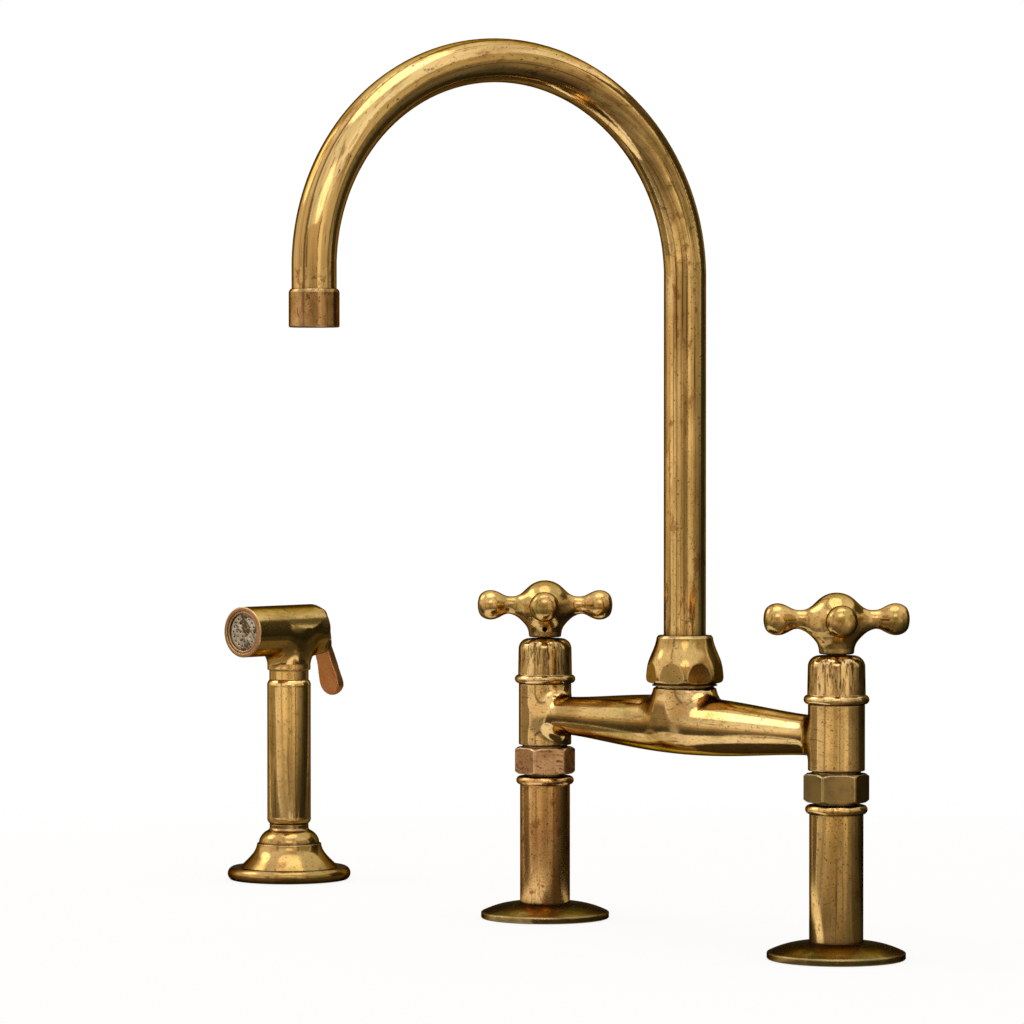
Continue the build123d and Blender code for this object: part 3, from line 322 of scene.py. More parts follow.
# brass recipes: each says what its making and its age give the eye
recipes = {}
recipes["castBrass"] = {  # poured, turned and buffed: long soft reflections, tea-brown clouds
    "metal": "eec684", "rough": 0.1, "lying": "X", "dirtAndShade": 0.6,
    "layers": [
        {**patches, "size": (20, 20, 34)},
        {**blush, "amount": 0.4},
        {**olive, "amount": 0.35, "size": (20, 20, 40)},
        {**wipes, "size": (2.0, 2.0, 40), "amount": 0.3},
        {**drips, "size": (0.8, 0.8, 26), "amount": 0.75, "low": 0.57, "high": 0.68},
        {**freckles, "amount": 0.4, "low": 0.58},
        {**blots, "amount": 0.7},
        specks,
    ],
}
recipes["freckledDrawnBrass"] = {  # drawn tube, handled for years: red-brown over dull gold
    "metal": "fcc680", "rough": 0.14,
    "layers": [
        {**patches, "tint": "c4904e"},
        {**blush, "tint": "c98a54", "amount": 0.7, "low": 0.46},
        {**drips, "size": (1.3, 1.3, 40), "amount": 0.6},
        {**wipes, "amount": 0.6},
        {**freckles, "tint": "86501f", "amount": 0.7, "low": 0.52, "high": 0.63},
        {**strokes, "amount": 0.45},
        {**blots, "amount": 0.7},
        {**specks, "low": 0.6},
    ],
}
recipes["wipedDrawnBrass"] = {  # the same tube, wiped more often: smoother, with long brown runs
    "metal": "fcce84", "rough": 0.12,
    "layers": [
        {**patches, "tint": "b48a4c"},
        {**olive, "amount": 0.4},
        {**drips, "size": (1.6, 1.6, 60), "tint": "74481e", "amount": 0.75, "low": 0.53},
        {**wipes, "size": (3.4, 3.4, 55), "amount": 0.6},
        {**freckles, "amount": 0.45, "low": 0.56},
        {**blots, "amount": 0.6},
        {**specks, "low": 0.6},
    ],
}
recipes["spunBrass"] = {  # spun disc, rarely wiped: dark olive with a rubbed rim
    "metal": "977a4a", "rough": 0.24, "edge": "50524a", "grimeAndShade": "2a2415", "rub": "e2c990",
    "dirtAndShade": 0.6, "reach": 4.0,
    "layers": [
        {**olive, "size": (18, 18, 18), "amount": 0.85, "tint": "7d7448"},
        {**patches, "size": (12, 12, 12), "amount": 0.7, "tint": "6e5a36"},
        {**wipes, "size": (9, 9, 9), "tint": "c8b078"},
        {**blots, "amount": 0.6},
    ],
}
recipes["pinkMilledBrass"] = {  # milled nut that lost its zinc: copper flats with dark marks
    "metal": "f4c090", "rough": 0.27, "rub": "ffdcb0", "wear": 0.8, "ease": 0.9,
    "layers": [
        {**patches, "size": (9, 9, 9), "tint": "c08e64"},
        {**blush, "tint": "d79a74"},
        {**freckles, "size": (5, 5, 2.2), "tint": "5e3219", "low": 0.5, "high": 0.6, "amount": 0.8},
        {**blots, "low": 0.55, "amount": 0.7},
        specks,
    ],
}
recipes["dullMilledBrass"] = {  # milled flats dulled by a wrench and hard water: grey brown
    "metal": "b99a62", "rough": 0.28, "rub": "e6cc94", "wear": 0.8, "ease": 0.9,
    "layers": [
        {**patches, "size": (9, 9, 12), "tint": "8a6c50"},
        {**olive, "size": (14, 14, 14), "tint": "807c58", "amount": 0.7},
        {**blush, "size": (7, 7, 10), "tint": "7c5244", "amount": 0.6},
        {**blots, "low": 0.6},
    ],
}
recipes["turnedBrassHood"] = {  # turned and polished, with dried runs of water below its dome
    "metal": "fbd494", "rough": 0.1,
    "layers": [
        patches,
        {**olive, "amount": 0.4},
        {
            **drips, "size": (1.3, 1.3, 9), "tint": "4e3316", "amount": 0.9, "low": 0.48,
            "high": 0.6, "fade": ("Z", 112, 119),
        },
        {**wipes, "amount": 0.4},
        {**freckles, "amount": 0.5},
        specks,
    ],
}
recipes["forgedBrass"] = {  # forged cross: bright where fingers rub, dirt and painted shade round the roots
    "metal": "dfb672", "rough": 0.14, "dirtAndShade": 0.9, "reach": 7.0, "grimeAndShade": "3a2a12",
    "layers": [
        {**patches, "size": (12, 12, 12), "amount": 0.55},
        {**olive, "size": (14, 14, 14), "amount": 0.5},
        {**blush, "size": (8, 8, 8), "tint": "b98552", "amount": 0.5},
        {**freckles, "size": (3, 3, 3), "amount": 0.45, "low": 0.57},
        {**blots, "amount": 0.5},
        specks,
    ],
}
recipes["bentDrawnBrass"] = {  # drawn and bent cold: die lines and brown runs along the bend
    "metal": "fdd48e", "rough": 0.08, "bent": True, "wave": 16.0,
    "layers": [
        {**patches, "size": (20, 20, 60), "tint": "b68e52"},
        {**olive, "tint": "a39a58", "amount": 0.4},
        {**blush, "size": (9, 9, 50), "tint": "c98a58", "amount": 0.55},
        {**wipes, "size": (1.5, 1.5, 120), "amount": 0.6},
        {**drips, "size": (1.0, 1.0, 110), "amount": 0.85, "low": 0.53, "high": 0.64},
        {
            **freckles, "size": (5, 5, 12), "tint": "8a5226", "amount": 0.65, "low": 0.54,
            "high": 0.64,
        },
        {**blots, "size": (4, 4, 6), "amount": 0.65, "low": 0.6, "high": 0.7},
        specks,
    ],
}
recipes["turnedBrassNut"] = {  # turned, then milled: polished cone over flats gone dull
    "metal": "dfb672", "rough": 0.12, "rub": "f6deac", "wear": 0.85, "ease": 0.9,
    "layers": [
        patches,
        {**olive, "amount": 0.45},
        {**blush, "size": (8, 8, 8), "amount": 0.5},
        {**drips, "size": (1.2, 1.2, 12), "amount": 0.45},
        specks,
    ],
}
recipes["wetTurnedBrass"] = {  # turned ring, always wet: pink, with brown and black runs
    "metal": "c89c68", "rough": 0.17,
    "layers": [
        {**patches, "size": (9, 9, 14)},
        {**blush, "size": (8, 8, 10), "tint": "a86e48", "amount": 0.75},
        {
            **drips, "size": (3.6, 3.6, 26), "tint": "5c3c20", "amount": 0.55, "low": 0.5,
            "high": 0.7,
        },
        {**freckles, "size": (3, 3, 3.5), "tint": "4c2b14", "amount": 0.75, "low": 0.52},
        {**blots, "amount": 0.6, "low": 0.6},
        specks,
    ],
}
recipes["turnedBrass"] = {  # turned holder and ferrule: rubbed edges, dirt and painted shade in the grooves
    "metal": "cca466", "rough": 0.14, "rub": "ecd09a", "wear": 0.8, "reach": 6.0, "dirtAndShade": 0.9,
    "layers": [
        {**patches, "size": (16, 16, 12)},
        {**olive, "amount": 0.5},
        {**freckles, "amount": 0.5},
        {**blots, "amount": 0.6},
        specks,
    ],
}
recipes["palmPolishedBrass"] = {  # turned grip, polished by the palm: lightest, with long runs
    "metal": "ffd68c", "rough": 0.09,
    "layers": [
        {**patches, "tint": "d2a864", "amount": 0.6},
        {**blush, "tint": "d8a068", "amount": 0.5},
        {
            **drips, "size": (1.6, 1.6, 60), "tint": "85582a", "amount": 0.6, "low": 0.56,
            "high": 0.64,
        },
        {**wipes, "size": (2.4, 2.4, 70), "tint": "f8d894", "amount": 0.7},
        {**freckles, "tint": "8a5428", "amount": 0.35},
        specks,
    ],
}
recipes["agedCastBrassPaintedShade"] = {  # cast head: olive brown, the barrel kept dark as painted shade and the neck below it painted lighter
    "metal": "d6b26c", "rough": 0.15, "lying": "Y", "dirtAndShade": 0.5,
    "layers": [
        {**olive, "tint": "8d7c44", "amount": 0.8},
        {**patches, "tint": "8f6a36", "amount": 0.6},
        {**blush, "amount": 0.4},
        {**drips, "size": (1.2, 1.2, 30), "amount": 0.5},
        {**blots, "amount": 0.5},
        # painted light: this bright layer fades in below the barrel, so the neck is lighter and the
        # barrel stays in painted shade
        {
            **wipes, "size": (30, 8, 8), "tint": "ffcf84", "low": 0.2, "high": 0.4,
            "amount": 0.9, "fade": ("Z", 119, 111),
        },
        specks,
    ],
}
recipes["pinkTurnedBrass"] = {  # turned ring that lost its zinc to the water: dull pink copper
    "metal": "d8a47c", "rough": 0.24,
    "layers": [{**patches, "tint": "a8744e"}, {**blots, "amount": 0.7}, specks],
}
recipes["platedBrass"] = {  # plated disc: pale, with lime and brown blotches
    "metal": "cfc6b8", "rough": 0.24,
    "layers": [
        {
            **patches, "size": (7, 7, 9), "tint": "5e4632", "amount": 0.9, "low": 0.44,
            "high": 0.52, "seed": 4.3,
        },
        {**blush, "size": (5, 5, 6), "tint": "f4efe4", "amount": 0.8, "low": 0.5, "high": 0.6},
        {**blots, "size": (2.5, 2.5, 2.5), "tint": "3c2c20"},
    ],
}
recipes["fingerWornBrass"] = {  # stamped lever that fingers wore down to a copper colour
    "metal": "ffb274", "rough": 0.26, "rub": "ffcc98", "dirtAndShade": 0.4,
    "layers": [
        {**patches, "tint": "f09456", "size": (10, 10, 16), "amount": 0.6},
        {**blush, "tint": "ffc48c"},
        {**blots, "tint": "8a4c28", "amount": 0.35},
    ],
}
recipes["machinedBrass"] = {  # inner and lower parts, as they left the lathe: even, fine rings
    "metal": "c9a45c", "rough": 0.28,
    "layers": [patches, {**wipes, "size": (0.8, 0.8, 0.5), "amount": 0.3}, specks],
}
recipes["drawnSteel"] = {  # stainless wire and pins: grey with fine lines along the draw
    "metal": "b8b6b0", "rough": 0.25, "rub": "dcdad4",
    "layers": [
        {**patches, "tint": "8f8c86", "size": (6, 6, 9)},
        {**wipes, "tint": "d8d6d0", "size": (0.4, 0.4, 4)},
    ],
}
recipes["blackenedSteelHoleShade"] = {  # screw down its hole: blackened steel, nearly black and dull, also standing in as painted shade inside the hole
    "metal": "2b2826", "rough": 0.45, "rub": "4a4642",
    "layers": [{**patches, "tint": "15120f", "size": (2, 2, 2)}],
}
materials = {name: metal(name, recipe) for name, recipe in recipes.items()}

# plain materials; size is the mottling's and bump its depth, in mm
softRecipes = {
    "moldedRubber": {  # seals and gaskets: black, no gloss
        "colour": "1c1b1a", "second": "2c2a28", "size": 1.2, "rough": 0.62, "bump": 0.02,
    },
    "moldedNylon": {  # bushes: cream, waxy
        "colour": "e7e2d4", "second": "cfc8b4", "size": 4.0, "rough": 0.42, "bump": 0.01,
    },
    "lappedAlumina": {  # valve discs: white, smooth
        "colour": "f1efe9", "second": "dedbd2", "size": 3.0, "rough": 0.22, "bump": 0.004,
    },
}
roughSpread = 0.08
for name, recipe in softRecipes.items():
    fresh = bpy.data.materials.new(name)
    tree = emptyTree(fresh)
    place = add(tree, "TexCoord", {}).outputs["Object"]
    cloud = add(tree, "TexNoise", {"Vector": place, "Scale": 1000 / recipe["size"], "Detail": 5.0})
    colour = add(
        tree, "Mix",
        {0: cloud.outputs[0], 6: linear(recipe["colour"]), 7: linear(recipe["second"])},
        data_type="RGBA",
    )
    dull = add(
        tree, "MapRange",
        {
            "Value": cloud.outputs[0],
            "To Min": recipe["rough"] - roughSpread,
            "To Max": recipe["rough"] + roughSpread,
        },
    )
    bump = add(tree, "Bump", {"Height": cloud.outputs[0], "Distance": recipe["bump"] / 1000})
    shader = add(
        tree, "BsdfPrincipled",
        {"Base Color": colour.outputs[2], "Roughness": dull.outputs[0], "Normal": bump.outputs[0]},
    )
    add(tree, "OutputMaterial", {"Surface": shader.outputs[0]})
    materials[name] = fresh

slots = {part["node"]: part["material_slot"] for part in frame["record"]["subparts"]}

# directions and the deck's middle; forms are worked out in mm and become metres in solid
origin = (0, 0, 0)
east = (1, 0, 0)
up = (0, 0, 1)


def softMin(a, b, width):
    near = np.clip(width - np.abs(a - b), 0, None) / width
    return np.minimum(a, b) - near * near * width / 4


def softMax(a, b, width):
    return -softMin(-a, -b, width)


def drum(points, middle, radius, low, high, edge=0.4):
    # distance to an upright drum with eased rims
    out = np.stack(
        (
            np.hypot(points[:, 0] - middle[0], points[:, 1] - middle[1]) - radius + edge,
            np.abs(points[:, 2] - (low + high) / 2) - (high - low) / 2 + edge,
        ),
        axis=1,
    )
    return np.minimum(out.max(axis=1), 0) + np.linalg.norm(np.maximum(out, 0), axis=1) - edge


def slope(field, points):
    reach = 0.02  # mm
    steps = []
    for axis in range(3):
        move = np.zeros(3)
        move[axis] = reach
        steps.append((field(points + move) - field(points - move)) / (2 * reach))
    return np.stack(steps, axis=1)


def straight(low, high, radius):
    return [(low, radius), (high, radius)]


def meshFrom(name, form):
    mesh = bpy.data.meshes.new(name)
    form.to_mesh(mesh)
    form.free()
    return mesh


def solid(name, profiles, segments=96):
    # each profile: (origin, axis, [(along, radius), ...]) in millimetres, closed at both ends
    form = bmesh.new()
    for start, axis, outline in profiles:
        axis = Vector(axis).normalized()
        first = axis.orthogonal().normalized()
        second = axis.cross(first)
        rings = []
        for along, radius in outline:
            ring = []
            for step in range(segments):
                angle = 2 * math.pi * step / segments
                spot = Vector(start) + axis * along
                spot += (first * math.cos(angle) + second * math.sin(angle)) * radius
                ring.append(form.verts.new(spot / 1000))
            rings.append(ring)
        for a, b in zip(rings, rings[1:]):
            for step in range(segments):
                after = (step + 1) % segments
                form.faces.new((a[step], a[after], b[after], b[step]))
        form.faces.new(list(reversed(rings[0])))
        form.faces.new(rings[-1])
    bmesh.ops.recalc_face_normals(form, faces=form.faces)
    return newThing(name, meshFrom(name, form))


def settled(thing):
    # the mesh with its modifiers applied, taken over by the object
    bpy.context.view_layer.update()
    graph = bpy.context.evaluated_depsgraph_get()
    fresh = bpy.data.meshes.new_from_object(thing.evaluated_get(graph))
    thing.modifiers.clear()
    old = thing.data
    thing.data = fresh
    bpy.data.meshes.remove(old)
    return fresh


def regrid(thing, cell):
    grid = thing.modifiers.new("grid", "REMESH")
    grid.mode = "VOXEL"
    grid.voxel_size = cell / 1000


def cutBy(thing, tool):
    cut = thing.modifiers.new("cut", "BOOLEAN")
    cut.operation = "DIFFERENCE"
    cut.solver = "MANIFOLD"
    cut.object = tool
    mesh = settled(thing)
    bpy.data.objects.remove(tool)
    return mesh


def dress(thing, *names):
    thing.data.materials.clear()
    for name in names:
        thing.data.materials.append(materials[name])


def pointsOf(mesh):
    flat = np.empty(len(mesh.vertices) * 3)
    mesh.vertices.foreach_get("co", flat)
    return flat.reshape(-1, 3) * 1000


pull = {
    "rounds": 7,
    "farthest": 1.2,  # mm that a point may move in a round
    "flattest": 0.2,  # least slope that a step is divided by
    "onSurface": 0.03,  # mm from the field's surface, else it's a bore
    "agree": 0.6,  # cosine between face and field, else it's a cut edge
}


def blended(name, start, field, cutters, cell):
    # rough union of turned forms, pulled onto the smooth surface field(points) = 0, then bored
    thing = solid(name, start)
    regrid(thing, cell)
    mesh = settled(thing)
    points = pointsOf(mesh)
    for go in range(pull["rounds"]):
        rise = slope(field, points)
        size = np.maximum((rise * rise).sum(axis=1), pull["flattest"])
        step = field(points) / size
        points -= rise * np.clip(step, -pull["farthest"], pull["farthest"])[:, None]
    mesh.vertices.foreach_set("co", (points / 1000).ravel())
    mesh.update()
    for at, cutter in enumerate(cutters):
        tool = solid(name + "Tool" + str(at), [cutter]) if isinstance(cutter, tuple) else cutter
        mesh = cutBy(thing, tool)
    # exact normals on the outside, face normals in the bores
    points = pointsOf(mesh)
    rise = slope(field, points)
    rise /= np.maximum(np.linalg.norm(rise, axis=1), 1e-6)[:, None]
    outside = np.abs(field(points)) < pull["onSurface"]
    corner = np.empty(len(mesh.loops), dtype=np.int32)
    mesh.loops.foreach_get("vertex_index", corner)
    sizes = np.empty(len(mesh.polygons), dtype=np.int32)
    mesh.polygons.foreach_get("loop_total", sizes)
    flat = np.empty(len(mesh.polygons) * 3)
    mesh.polygons.foreach_get("normal", flat)
    faces = np.repeat(flat.reshape(-1, 3), sizes, axis=0)
    agree = (faces * rise[corner]).sum(axis=1) > pull["agree"]
    normals = np.where((outside[corner] & agree)[:, None], rise[corner], faces)
    mesh.polygons.foreach_set("use_smooth", np.ones(len(mesh.polygons), dtype=bool))
    mesh.normals_split_custom_set(normals)
    return thing


# bridge casting: arms, boss and valve bodies run into each other as poured metal does
casting = {
    "level": 95.55,  # the arms' axis above the deck
    "half": 101.6,  # from the middle to each leg
    "thin": 8.8, "swell": 4.4, "swellTo": 86.0, "swellShape": 1.75, "armEnd": 95.0,
    "body": 12.3, "bodyLow": 81.2, "bodyHigh": 109.9,
    "shank": 10.48, "shankLow": 72.9, "overlap": 2, "rim": 0.3,
    "boss": 13.8, "bossFoot": 10.6, "bossRise": 12, "bossRound": 3.0, "bossHigh": 112.35,
    "roofFrom": 6,  # this far above the arms' axis the boss's rim is sharp, not round
    "nipple": 13.0, "nippleLow": 100.0, "nippleHigh": 120.55,
    "bossBlend": 10.0, "bodyBlend": 5.6, "topBlend": 0.5,
    "roughArms": range(-98, 99, 4), "roughBoss": [(97.0, 11.6), (112.35, 14.4)],
    "roughNippleLow": 111.0, "roughShankHigh": 83.0,
    # bores: from, to, radius
    "tailBore": (70.0, 85.0, 7.0), "seatBore": (84.5, 112.0, 9.6), "armBore": (-101.0, 101.0, 5.0),
    "bossBore": (96.0, 101.0, 5.6), "spigotBore": (99.75, 124.0, 8.56),
    "cell": 0.6,  # voxel size of the rough form
}


def castingField(points):
    x, y, z = points.T
    across = np.abs(x)
    level = casting["level"]
    share = np.clip(1 - (across / casting["swellTo"]) ** 2, 0, None) ** casting["swellShape"]
    arm = np.hypot(y, z - level) - casting["thin"] - casting["swell"] * share
    arm = np.maximum(arm, across - casting["armEnd"])
    rise = np.clip((z - level) / casting["bossRise"], 0, 1)
    rise = rise * rise * (3 - 2 * rise)
    girth = casting["bossFoot"] + (casting["boss"] - casting["bossFoot"]) * rise
    low = level - casting["overlap"]
    boss = drum(points, origin, girth, low, casting["bossHigh"], casting["bossRound"])
    roof = drum(points, origin, girth, low, casting["bossHigh"], casting["rim"])
    boss = np.where(z > level + casting["roofFrom"], roof, boss)
    out = softMin(arm, boss, casting["bossBlend"])
    out = softMax(out, z - casting["bossHigh"], casting["topBlend"])
    for side in (-1, 1):
        place = (side * casting["half"], 0)
        body = drum(points, place, casting["body"], casting["bodyLow"], casting["bodyHigh"])
        out = softMin(out, body, casting["bodyBlend"])
        top = casting["bodyLow"] + casting["overlap"]
        shank = drum(points, place, casting["shank"], casting["shankLow"], top, casting["rim"])
        out = np.minimum(out, shank)
    nipple = drum(points, origin, casting["nipple"], casting["nippleLow"], casting["nippleHigh"])
    return np.minimum(out, nipple)


arms = []
for along in casting["roughArms"]:
    share = max(0.0, 1 - (along / casting["swellTo"]) ** 2) ** casting["swellShape"]
    arms.append((along, casting["thin"] + casting["swell"] * share))
start = [
    ((0, 0, casting["level"]), east, arms),
    (origin, up, casting["roughBoss"]),
    (origin, up, straight(casting["roughNippleLow"], casting["nippleHigh"], casting["nipple"])),
]
cutters = []
for side in (-1, 1):
    foot = (side * casting["half"], 0, 0)
    start.append((foot, up, straight(casting["bodyLow"], casting["bodyHigh"], casting["body"])))
    shank = straight(casting["shankLow"], casting["roughShankHigh"], casting["shank"])
    start.append((foot, up, shank))
    cutters.append((foot, up, straight(*casting["tailBore"])))
    cutters.append((foot, up, straight(*casting["seatBore"])))
cutters.append(((0, 0, casting["level"]), east, straight(*casting["armBore"])))
cutters.append((origin, up, straight(*casting["bossBore"])))
cutters.append((origin, up, straight(*casting["spigotBore"])))
bridge = blended("bridgeCasting", start, castingField, cutters, casting["cell"])
dress(bridge, "castBrass")
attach(bridge, "faucet_body")
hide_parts("bridge_body")
print("bridge casting", len(bridge.data.vertices))

# cross handles: hub on a flared neck, four arms with ball ends, all run together
cross = {
    "foot": 131.5, "level": 146.5,  # heights above the deck
    "hub": 11.5,
    "neckAt": (-16.0, -15.0, -12.5, -10.35, -7.2, -3.5, 0.0),  # from the hub's middle
    "neck": (7.4, 7.5, 7.75, 8.4, 10.0, 11.15, 11.5),
    "neckSlope": 0.93,  # evens out the distance where the neck flares
    "footEase": 0.8,
    "waist": 4.0, "taper": 0.5, "taperTo": 14,
    "ball": 6.9, "ballAt": 25.5, "ballBlend": 3.2,
    "cap": 11.545, "capAt": 20.0, "capFrom": 22, "capEase": 0.5,  # flatter end of each ball
    "topBlend": 4.5, "underBlend": 3.5, "underAt": 5,  # arms to hub, wider below the arms
    "roughHub": [
        (131.5, 7.5), (136.0, 8.3), (139.3, 10.1), (143.0, 11.2), (146.5, 11.5), (150.5, 10.8),
        (154.6, 8.2), (157.2, 4.4), (157.9, 1.0),
    ],
    "roughArm": [
        (2.0, 4.5), (19.5, 4.0), (22.0, 6.0), (25.5, 6.9), (28.5, 6.2), (30.5, 4.7), (31.4, 1.5),
    ],
    "socket": 3.05,  # half the width of the spindle's square hole
    "socketLow": 129.0, "socketHigh": 146.8,
    "screwAt": 135.4, "screwHole": (2.5, 12.0, 1.2),
    "cell": 0.4,
}


def crossField(points, legX, yaw):
    x, y, z = points[:, 0] - legX, points[:, 1], points[:, 2] - cross["level"]
    away = np.hypot(x, y)
    neck = (away - np.interp(z, cross["neckAt"], cross["neck"])) * cross["neckSlope"]
    hub = np.where(z > 0, np.sqrt(away**2 + z**2) - cross["hub"], neck)
    out = softMax(hub, cross["foot"] - cross["level"] - z, cross["footEase"])
    width = cross["topBlend"] + cross["underBlend"] * np.clip(-z / cross["underAt"], 0, 1)
    for quarter in range(4):
        angle = math.radians(yaw + 90 * quarter)
        along = x * math.cos(angle) + y * math.sin(angle)
        aside = -x * math.sin(angle) + y * math.cos(angle)
        around = np.hypot(aside, z)
        taper = cross["taper"] * np.clip(1 - along / cross["taperTo"], 0, 1)
        stem = np.maximum(around - cross["waist"] - taper, along - cross["ballAt"])
        stem = np.maximum(stem, -along)
        ball = np.hypot(around, along - cross["ballAt"]) - cross["ball"]
        arm = softMin(stem, ball, cross["ballBlend"])
        cap = np.hypot(around, along - cross["capAt"]) - cross["cap"]
        arm = np.where(along > cross["capFrom"], softMax(arm, cap, cross["capEase"]), arm)
        out = softMin(out, arm, width)
    return out


# yaw: degrees that the first arm stands round from the bridge's right
for side, sign, yaw in (("left", -1, 51.0), ("right", 1, 53.0)):
    legX = sign * casting["half"]
    base = (legX, 0, 0)
    start = [(base, up, cross["roughHub"])]
    for quarter in range(4):
        angle = math.radians(yaw + 90 * quarter)
        outwards = (math.cos(angle), math.sin(angle), 0)
        start.append(((legX, 0, cross["level"]), outwards, cross["roughArm"]))
    screwAngle = math.radians(yaw + 90.0 * sign)
    screwWay = (math.cos(screwAngle), math.sin(screwAngle), 0)
    hole = ((legX, 0, cross["screwAt"]), screwWay, straight(*cross["screwHole"]))
    square = straight(cross["socketLow"], cross["socketHigh"], cross["socket"] * 2**0.5)
    socket = solid("socket", [(base, up, square)], 4)
    # the square's corners point between the arms
    spin = Vector(up).orthogonal()
    turnBy = math.radians(yaw + 45) - math.atan2(spin.y, spin.x)
    for vert in socket.data.vertices:
        flat = Vector((vert.co.x - legX / 1000, vert.co.y, 0))
        flat.rotate(Quaternion(up, turnBy))
        vert.co.x, vert.co.y = flat.x + legX / 1000, flat.y
    handle = blended(
        side + "CrossHandle", start,
        lambda points, legX=legX, yaw=yaw: crossField(points, legX, yaw),
        [socket, hole], cross["cell"],
    )
    dress(handle, "forgedBrass")
    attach(handle, side + "_tap")
    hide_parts(side + "_handle")
    print("handle", side, len(handle.data.vertices))

# spray head: barrel, neck and lever housing cast as one, then bored
sprayHead = {
    "x": -322.2, "y": 7.5, "level": 126.8,  # the barrel's axis above the deck
    "aim": 12,  # degrees that the barrel turns towards the bridge
    "barrel": 12.75, "front": 34.2, "back": -19.5, "frontRound": 0.35, "backRound": 3.2,
    "neckAt": (106.8, 109.6, 111.6, 116.0, 127.0), "neck": (11.0, 11.0, 11.24, 11.8, 11.8),
    "neckLow": 106.5, "neckHigh": 126.0, "neckBlend": 6.5, "neckEase": 0.6,
    "collar": (10.0, 101.5, 108.0, 0.2),  # radius, from, to, eased rim
    "spigot": (8.85, 89.4, 102.0, 0.3),
    "cheek": 7.5, "cheekEase": 1.4, "housingBlend": 3.0,
    # side outline of the housing: behind and above the barrel's axis
    "housing": [
        (14.9, -12.5), (23.64, -11.5), (25.2, -9.7), (24.9, -6.0), (24.55, -2.55), (23.4, 1.5),
        (21.8, 4.85), (20.3, 7.5), (18.54, 9.18), (14.9, 9.18),
    ],
    "roughBarrel": [(-19.5, 10.5), (-17.5, 12.4), (34.2, 12.75)],
    "roughHousing": (-7.3, 7.3, 8.2), "roughBehind": 17.5, "roughUp": 124.5,
    "roughNeck": [(106.6, 11.0), (122.0, 11.8)], "roughCollar": (101.5, 108.0, 10.0),
    "roughSpigot": (89.4, 102.5, 8.85),
    "slot": (-19.8, 26, 10.4, -0.9, 22),  # the lever's slot: from, length, width, top, depth
    # bores: from, to, radius
    "mouth": (9.4, 36.0, 8.6), "seat": (30.0, 36.5, 10.8), "neckBore": (88.0, 121.5, 4.5),
    "valveBore": (0.0, 11.8, 3.4), "stemBore": (-8.4, 0.4, 1.46), "capBore": (-40.0, -8.0, 2.6),
    "pinBore": (-9.0, 9.0, 1.2),
    "stemUp": 118.2, "pivotBehind": 22.6, "pivotUp": 122.5,
    "rimFrom": 33.95,  # along the barrel; its front face shows the pink metal
    "cell": 0.42,
}
headX, headY = sprayHead["x"], sprayHead["y"]
aim = (math.sin(math.radians(sprayHead["aim"])), -math.cos(math.radians(sprayHead["aim"])), 0.0)
aside = (-aim[1], aim[0], 0.0)


def headField(points):
    x, y, height = points[:, 0] - headX, points[:, 1] - headY, points[:, 2]
    z = height - sprayHead["level"]
    ahead = x * aim[0] + y * aim[1]
    across = x * aside[0] + y * aside[1]
    front, back = sprayHead["front"], sprayHead["back"]
    around = np.hypot(across, z) - sprayHead["barrel"]
    ends = np.abs(ahead - (front + back) / 2) - (front - back) / 2
    edge = np.where(ahead > 0, sprayHead["frontRound"], sprayHead["backRound"])
    pair = np.stack((around + edge, ends + edge), axis=1)
    barrel = np.minimum(pair.max(axis=1), 0) + np.linalg.norm(np.maximum(pair, 0), axis=1) - edge
    housing = np.abs(across) - sprayHead["cheek"]
    outline = sprayHead["housing"]
    for (u, v), (p, q) in zip(outline, outline[1:] + outline[:1]):
        long = math.hypot(p - u, q - v)
        plane = ((-ahead - u) * (q - v) - (z - v) * (p - u)) / long
        housing = softMax(housing, plane, sprayHead["cheekEase"])
    neck = np.hypot(x, y) - np.interp(height, sprayHead["neckAt"], sprayHead["neck"])
    neck = np.maximum(neck, height - sprayHead["neckHigh"])
    neck = softMax(neck, sprayHead["neckLow"] - height, sprayHead["neckEase"])
    out = softMin(barrel, housing, sprayHead["housingBlend"])
    out = softMin(out, neck, sprayHead["neckBlend"])
    upright = np.stack((x, y, height), axis=1)
    out = np.minimum(out, drum(upright, origin, *sprayHead["collar"]))
    return np.minimum(out, drum(upright, origin, *sprayHead["spigot"]))


def behind(distance, height):
    return (headX - distance * aim[0], headY - distance * aim[1], height)


axis = behind(0, sprayHead["level"])
stem = behind(0, sprayHead["stemUp"])
foot = behind(0, 0)
pivot = behind(sprayHead["pivotBehind"], sprayHead["pivotUp"])
rough = behind(sprayHead["roughBehind"], sprayHead["roughUp"])
start = [
    (axis, aim, sprayHead["roughBarrel"]),
    (rough, aside, straight(*sprayHead["roughHousing"])),
    (foot, up, sprayHead["roughNeck"]),
    (foot, up, straight(*sprayHead["roughCollar"])),
    (foot, up, straight(*sprayHead["roughSpigot"])),
]
slotFrom, slotLong, slotWide, slotTop, slotDeep = sprayHead["slot"]
form = bmesh.new()
bmesh.ops.create_cube(form, size=1.0)
for vert in form.verts:
    u = slotFrom - slotLong * (vert.co.x + 0.5)
    w = slotWide * vert.co.y
    h = slotTop - slotDeep * (vert.co.z + 0.5)
    vert.co = (Vector(axis) + Vector(aim) * u + Vector(aside) * w + Vector((0, 0, h))) / 1000
bmesh.ops.recalc_face_normals(form, faces=form.faces)
slotTool = newThing("slotTool", meshFrom("slotTool", form))
cutters = [
    slotTool,
    (axis, aim, straight(*sprayHead["mouth"])),
    (axis, aim, straight(*sprayHead["seat"])),
    (foot, up, straight(*sprayHead["neckBore"])),
    (stem, aim, straight(*sprayHead["valveBore"])),
    (stem, aim, straight(*sprayHead["stemBore"])),
    (stem, aim, straight(*sprayHead["capBore"])),
    (pivot, aside, straight(*sprayHead["pinBore"])),
]
head = blended("castSprayHead", start, headField, cutters, sprayHead["cell"])
dress(head, "agedCastBrassPaintedShade", "pinkTurnedBrass")
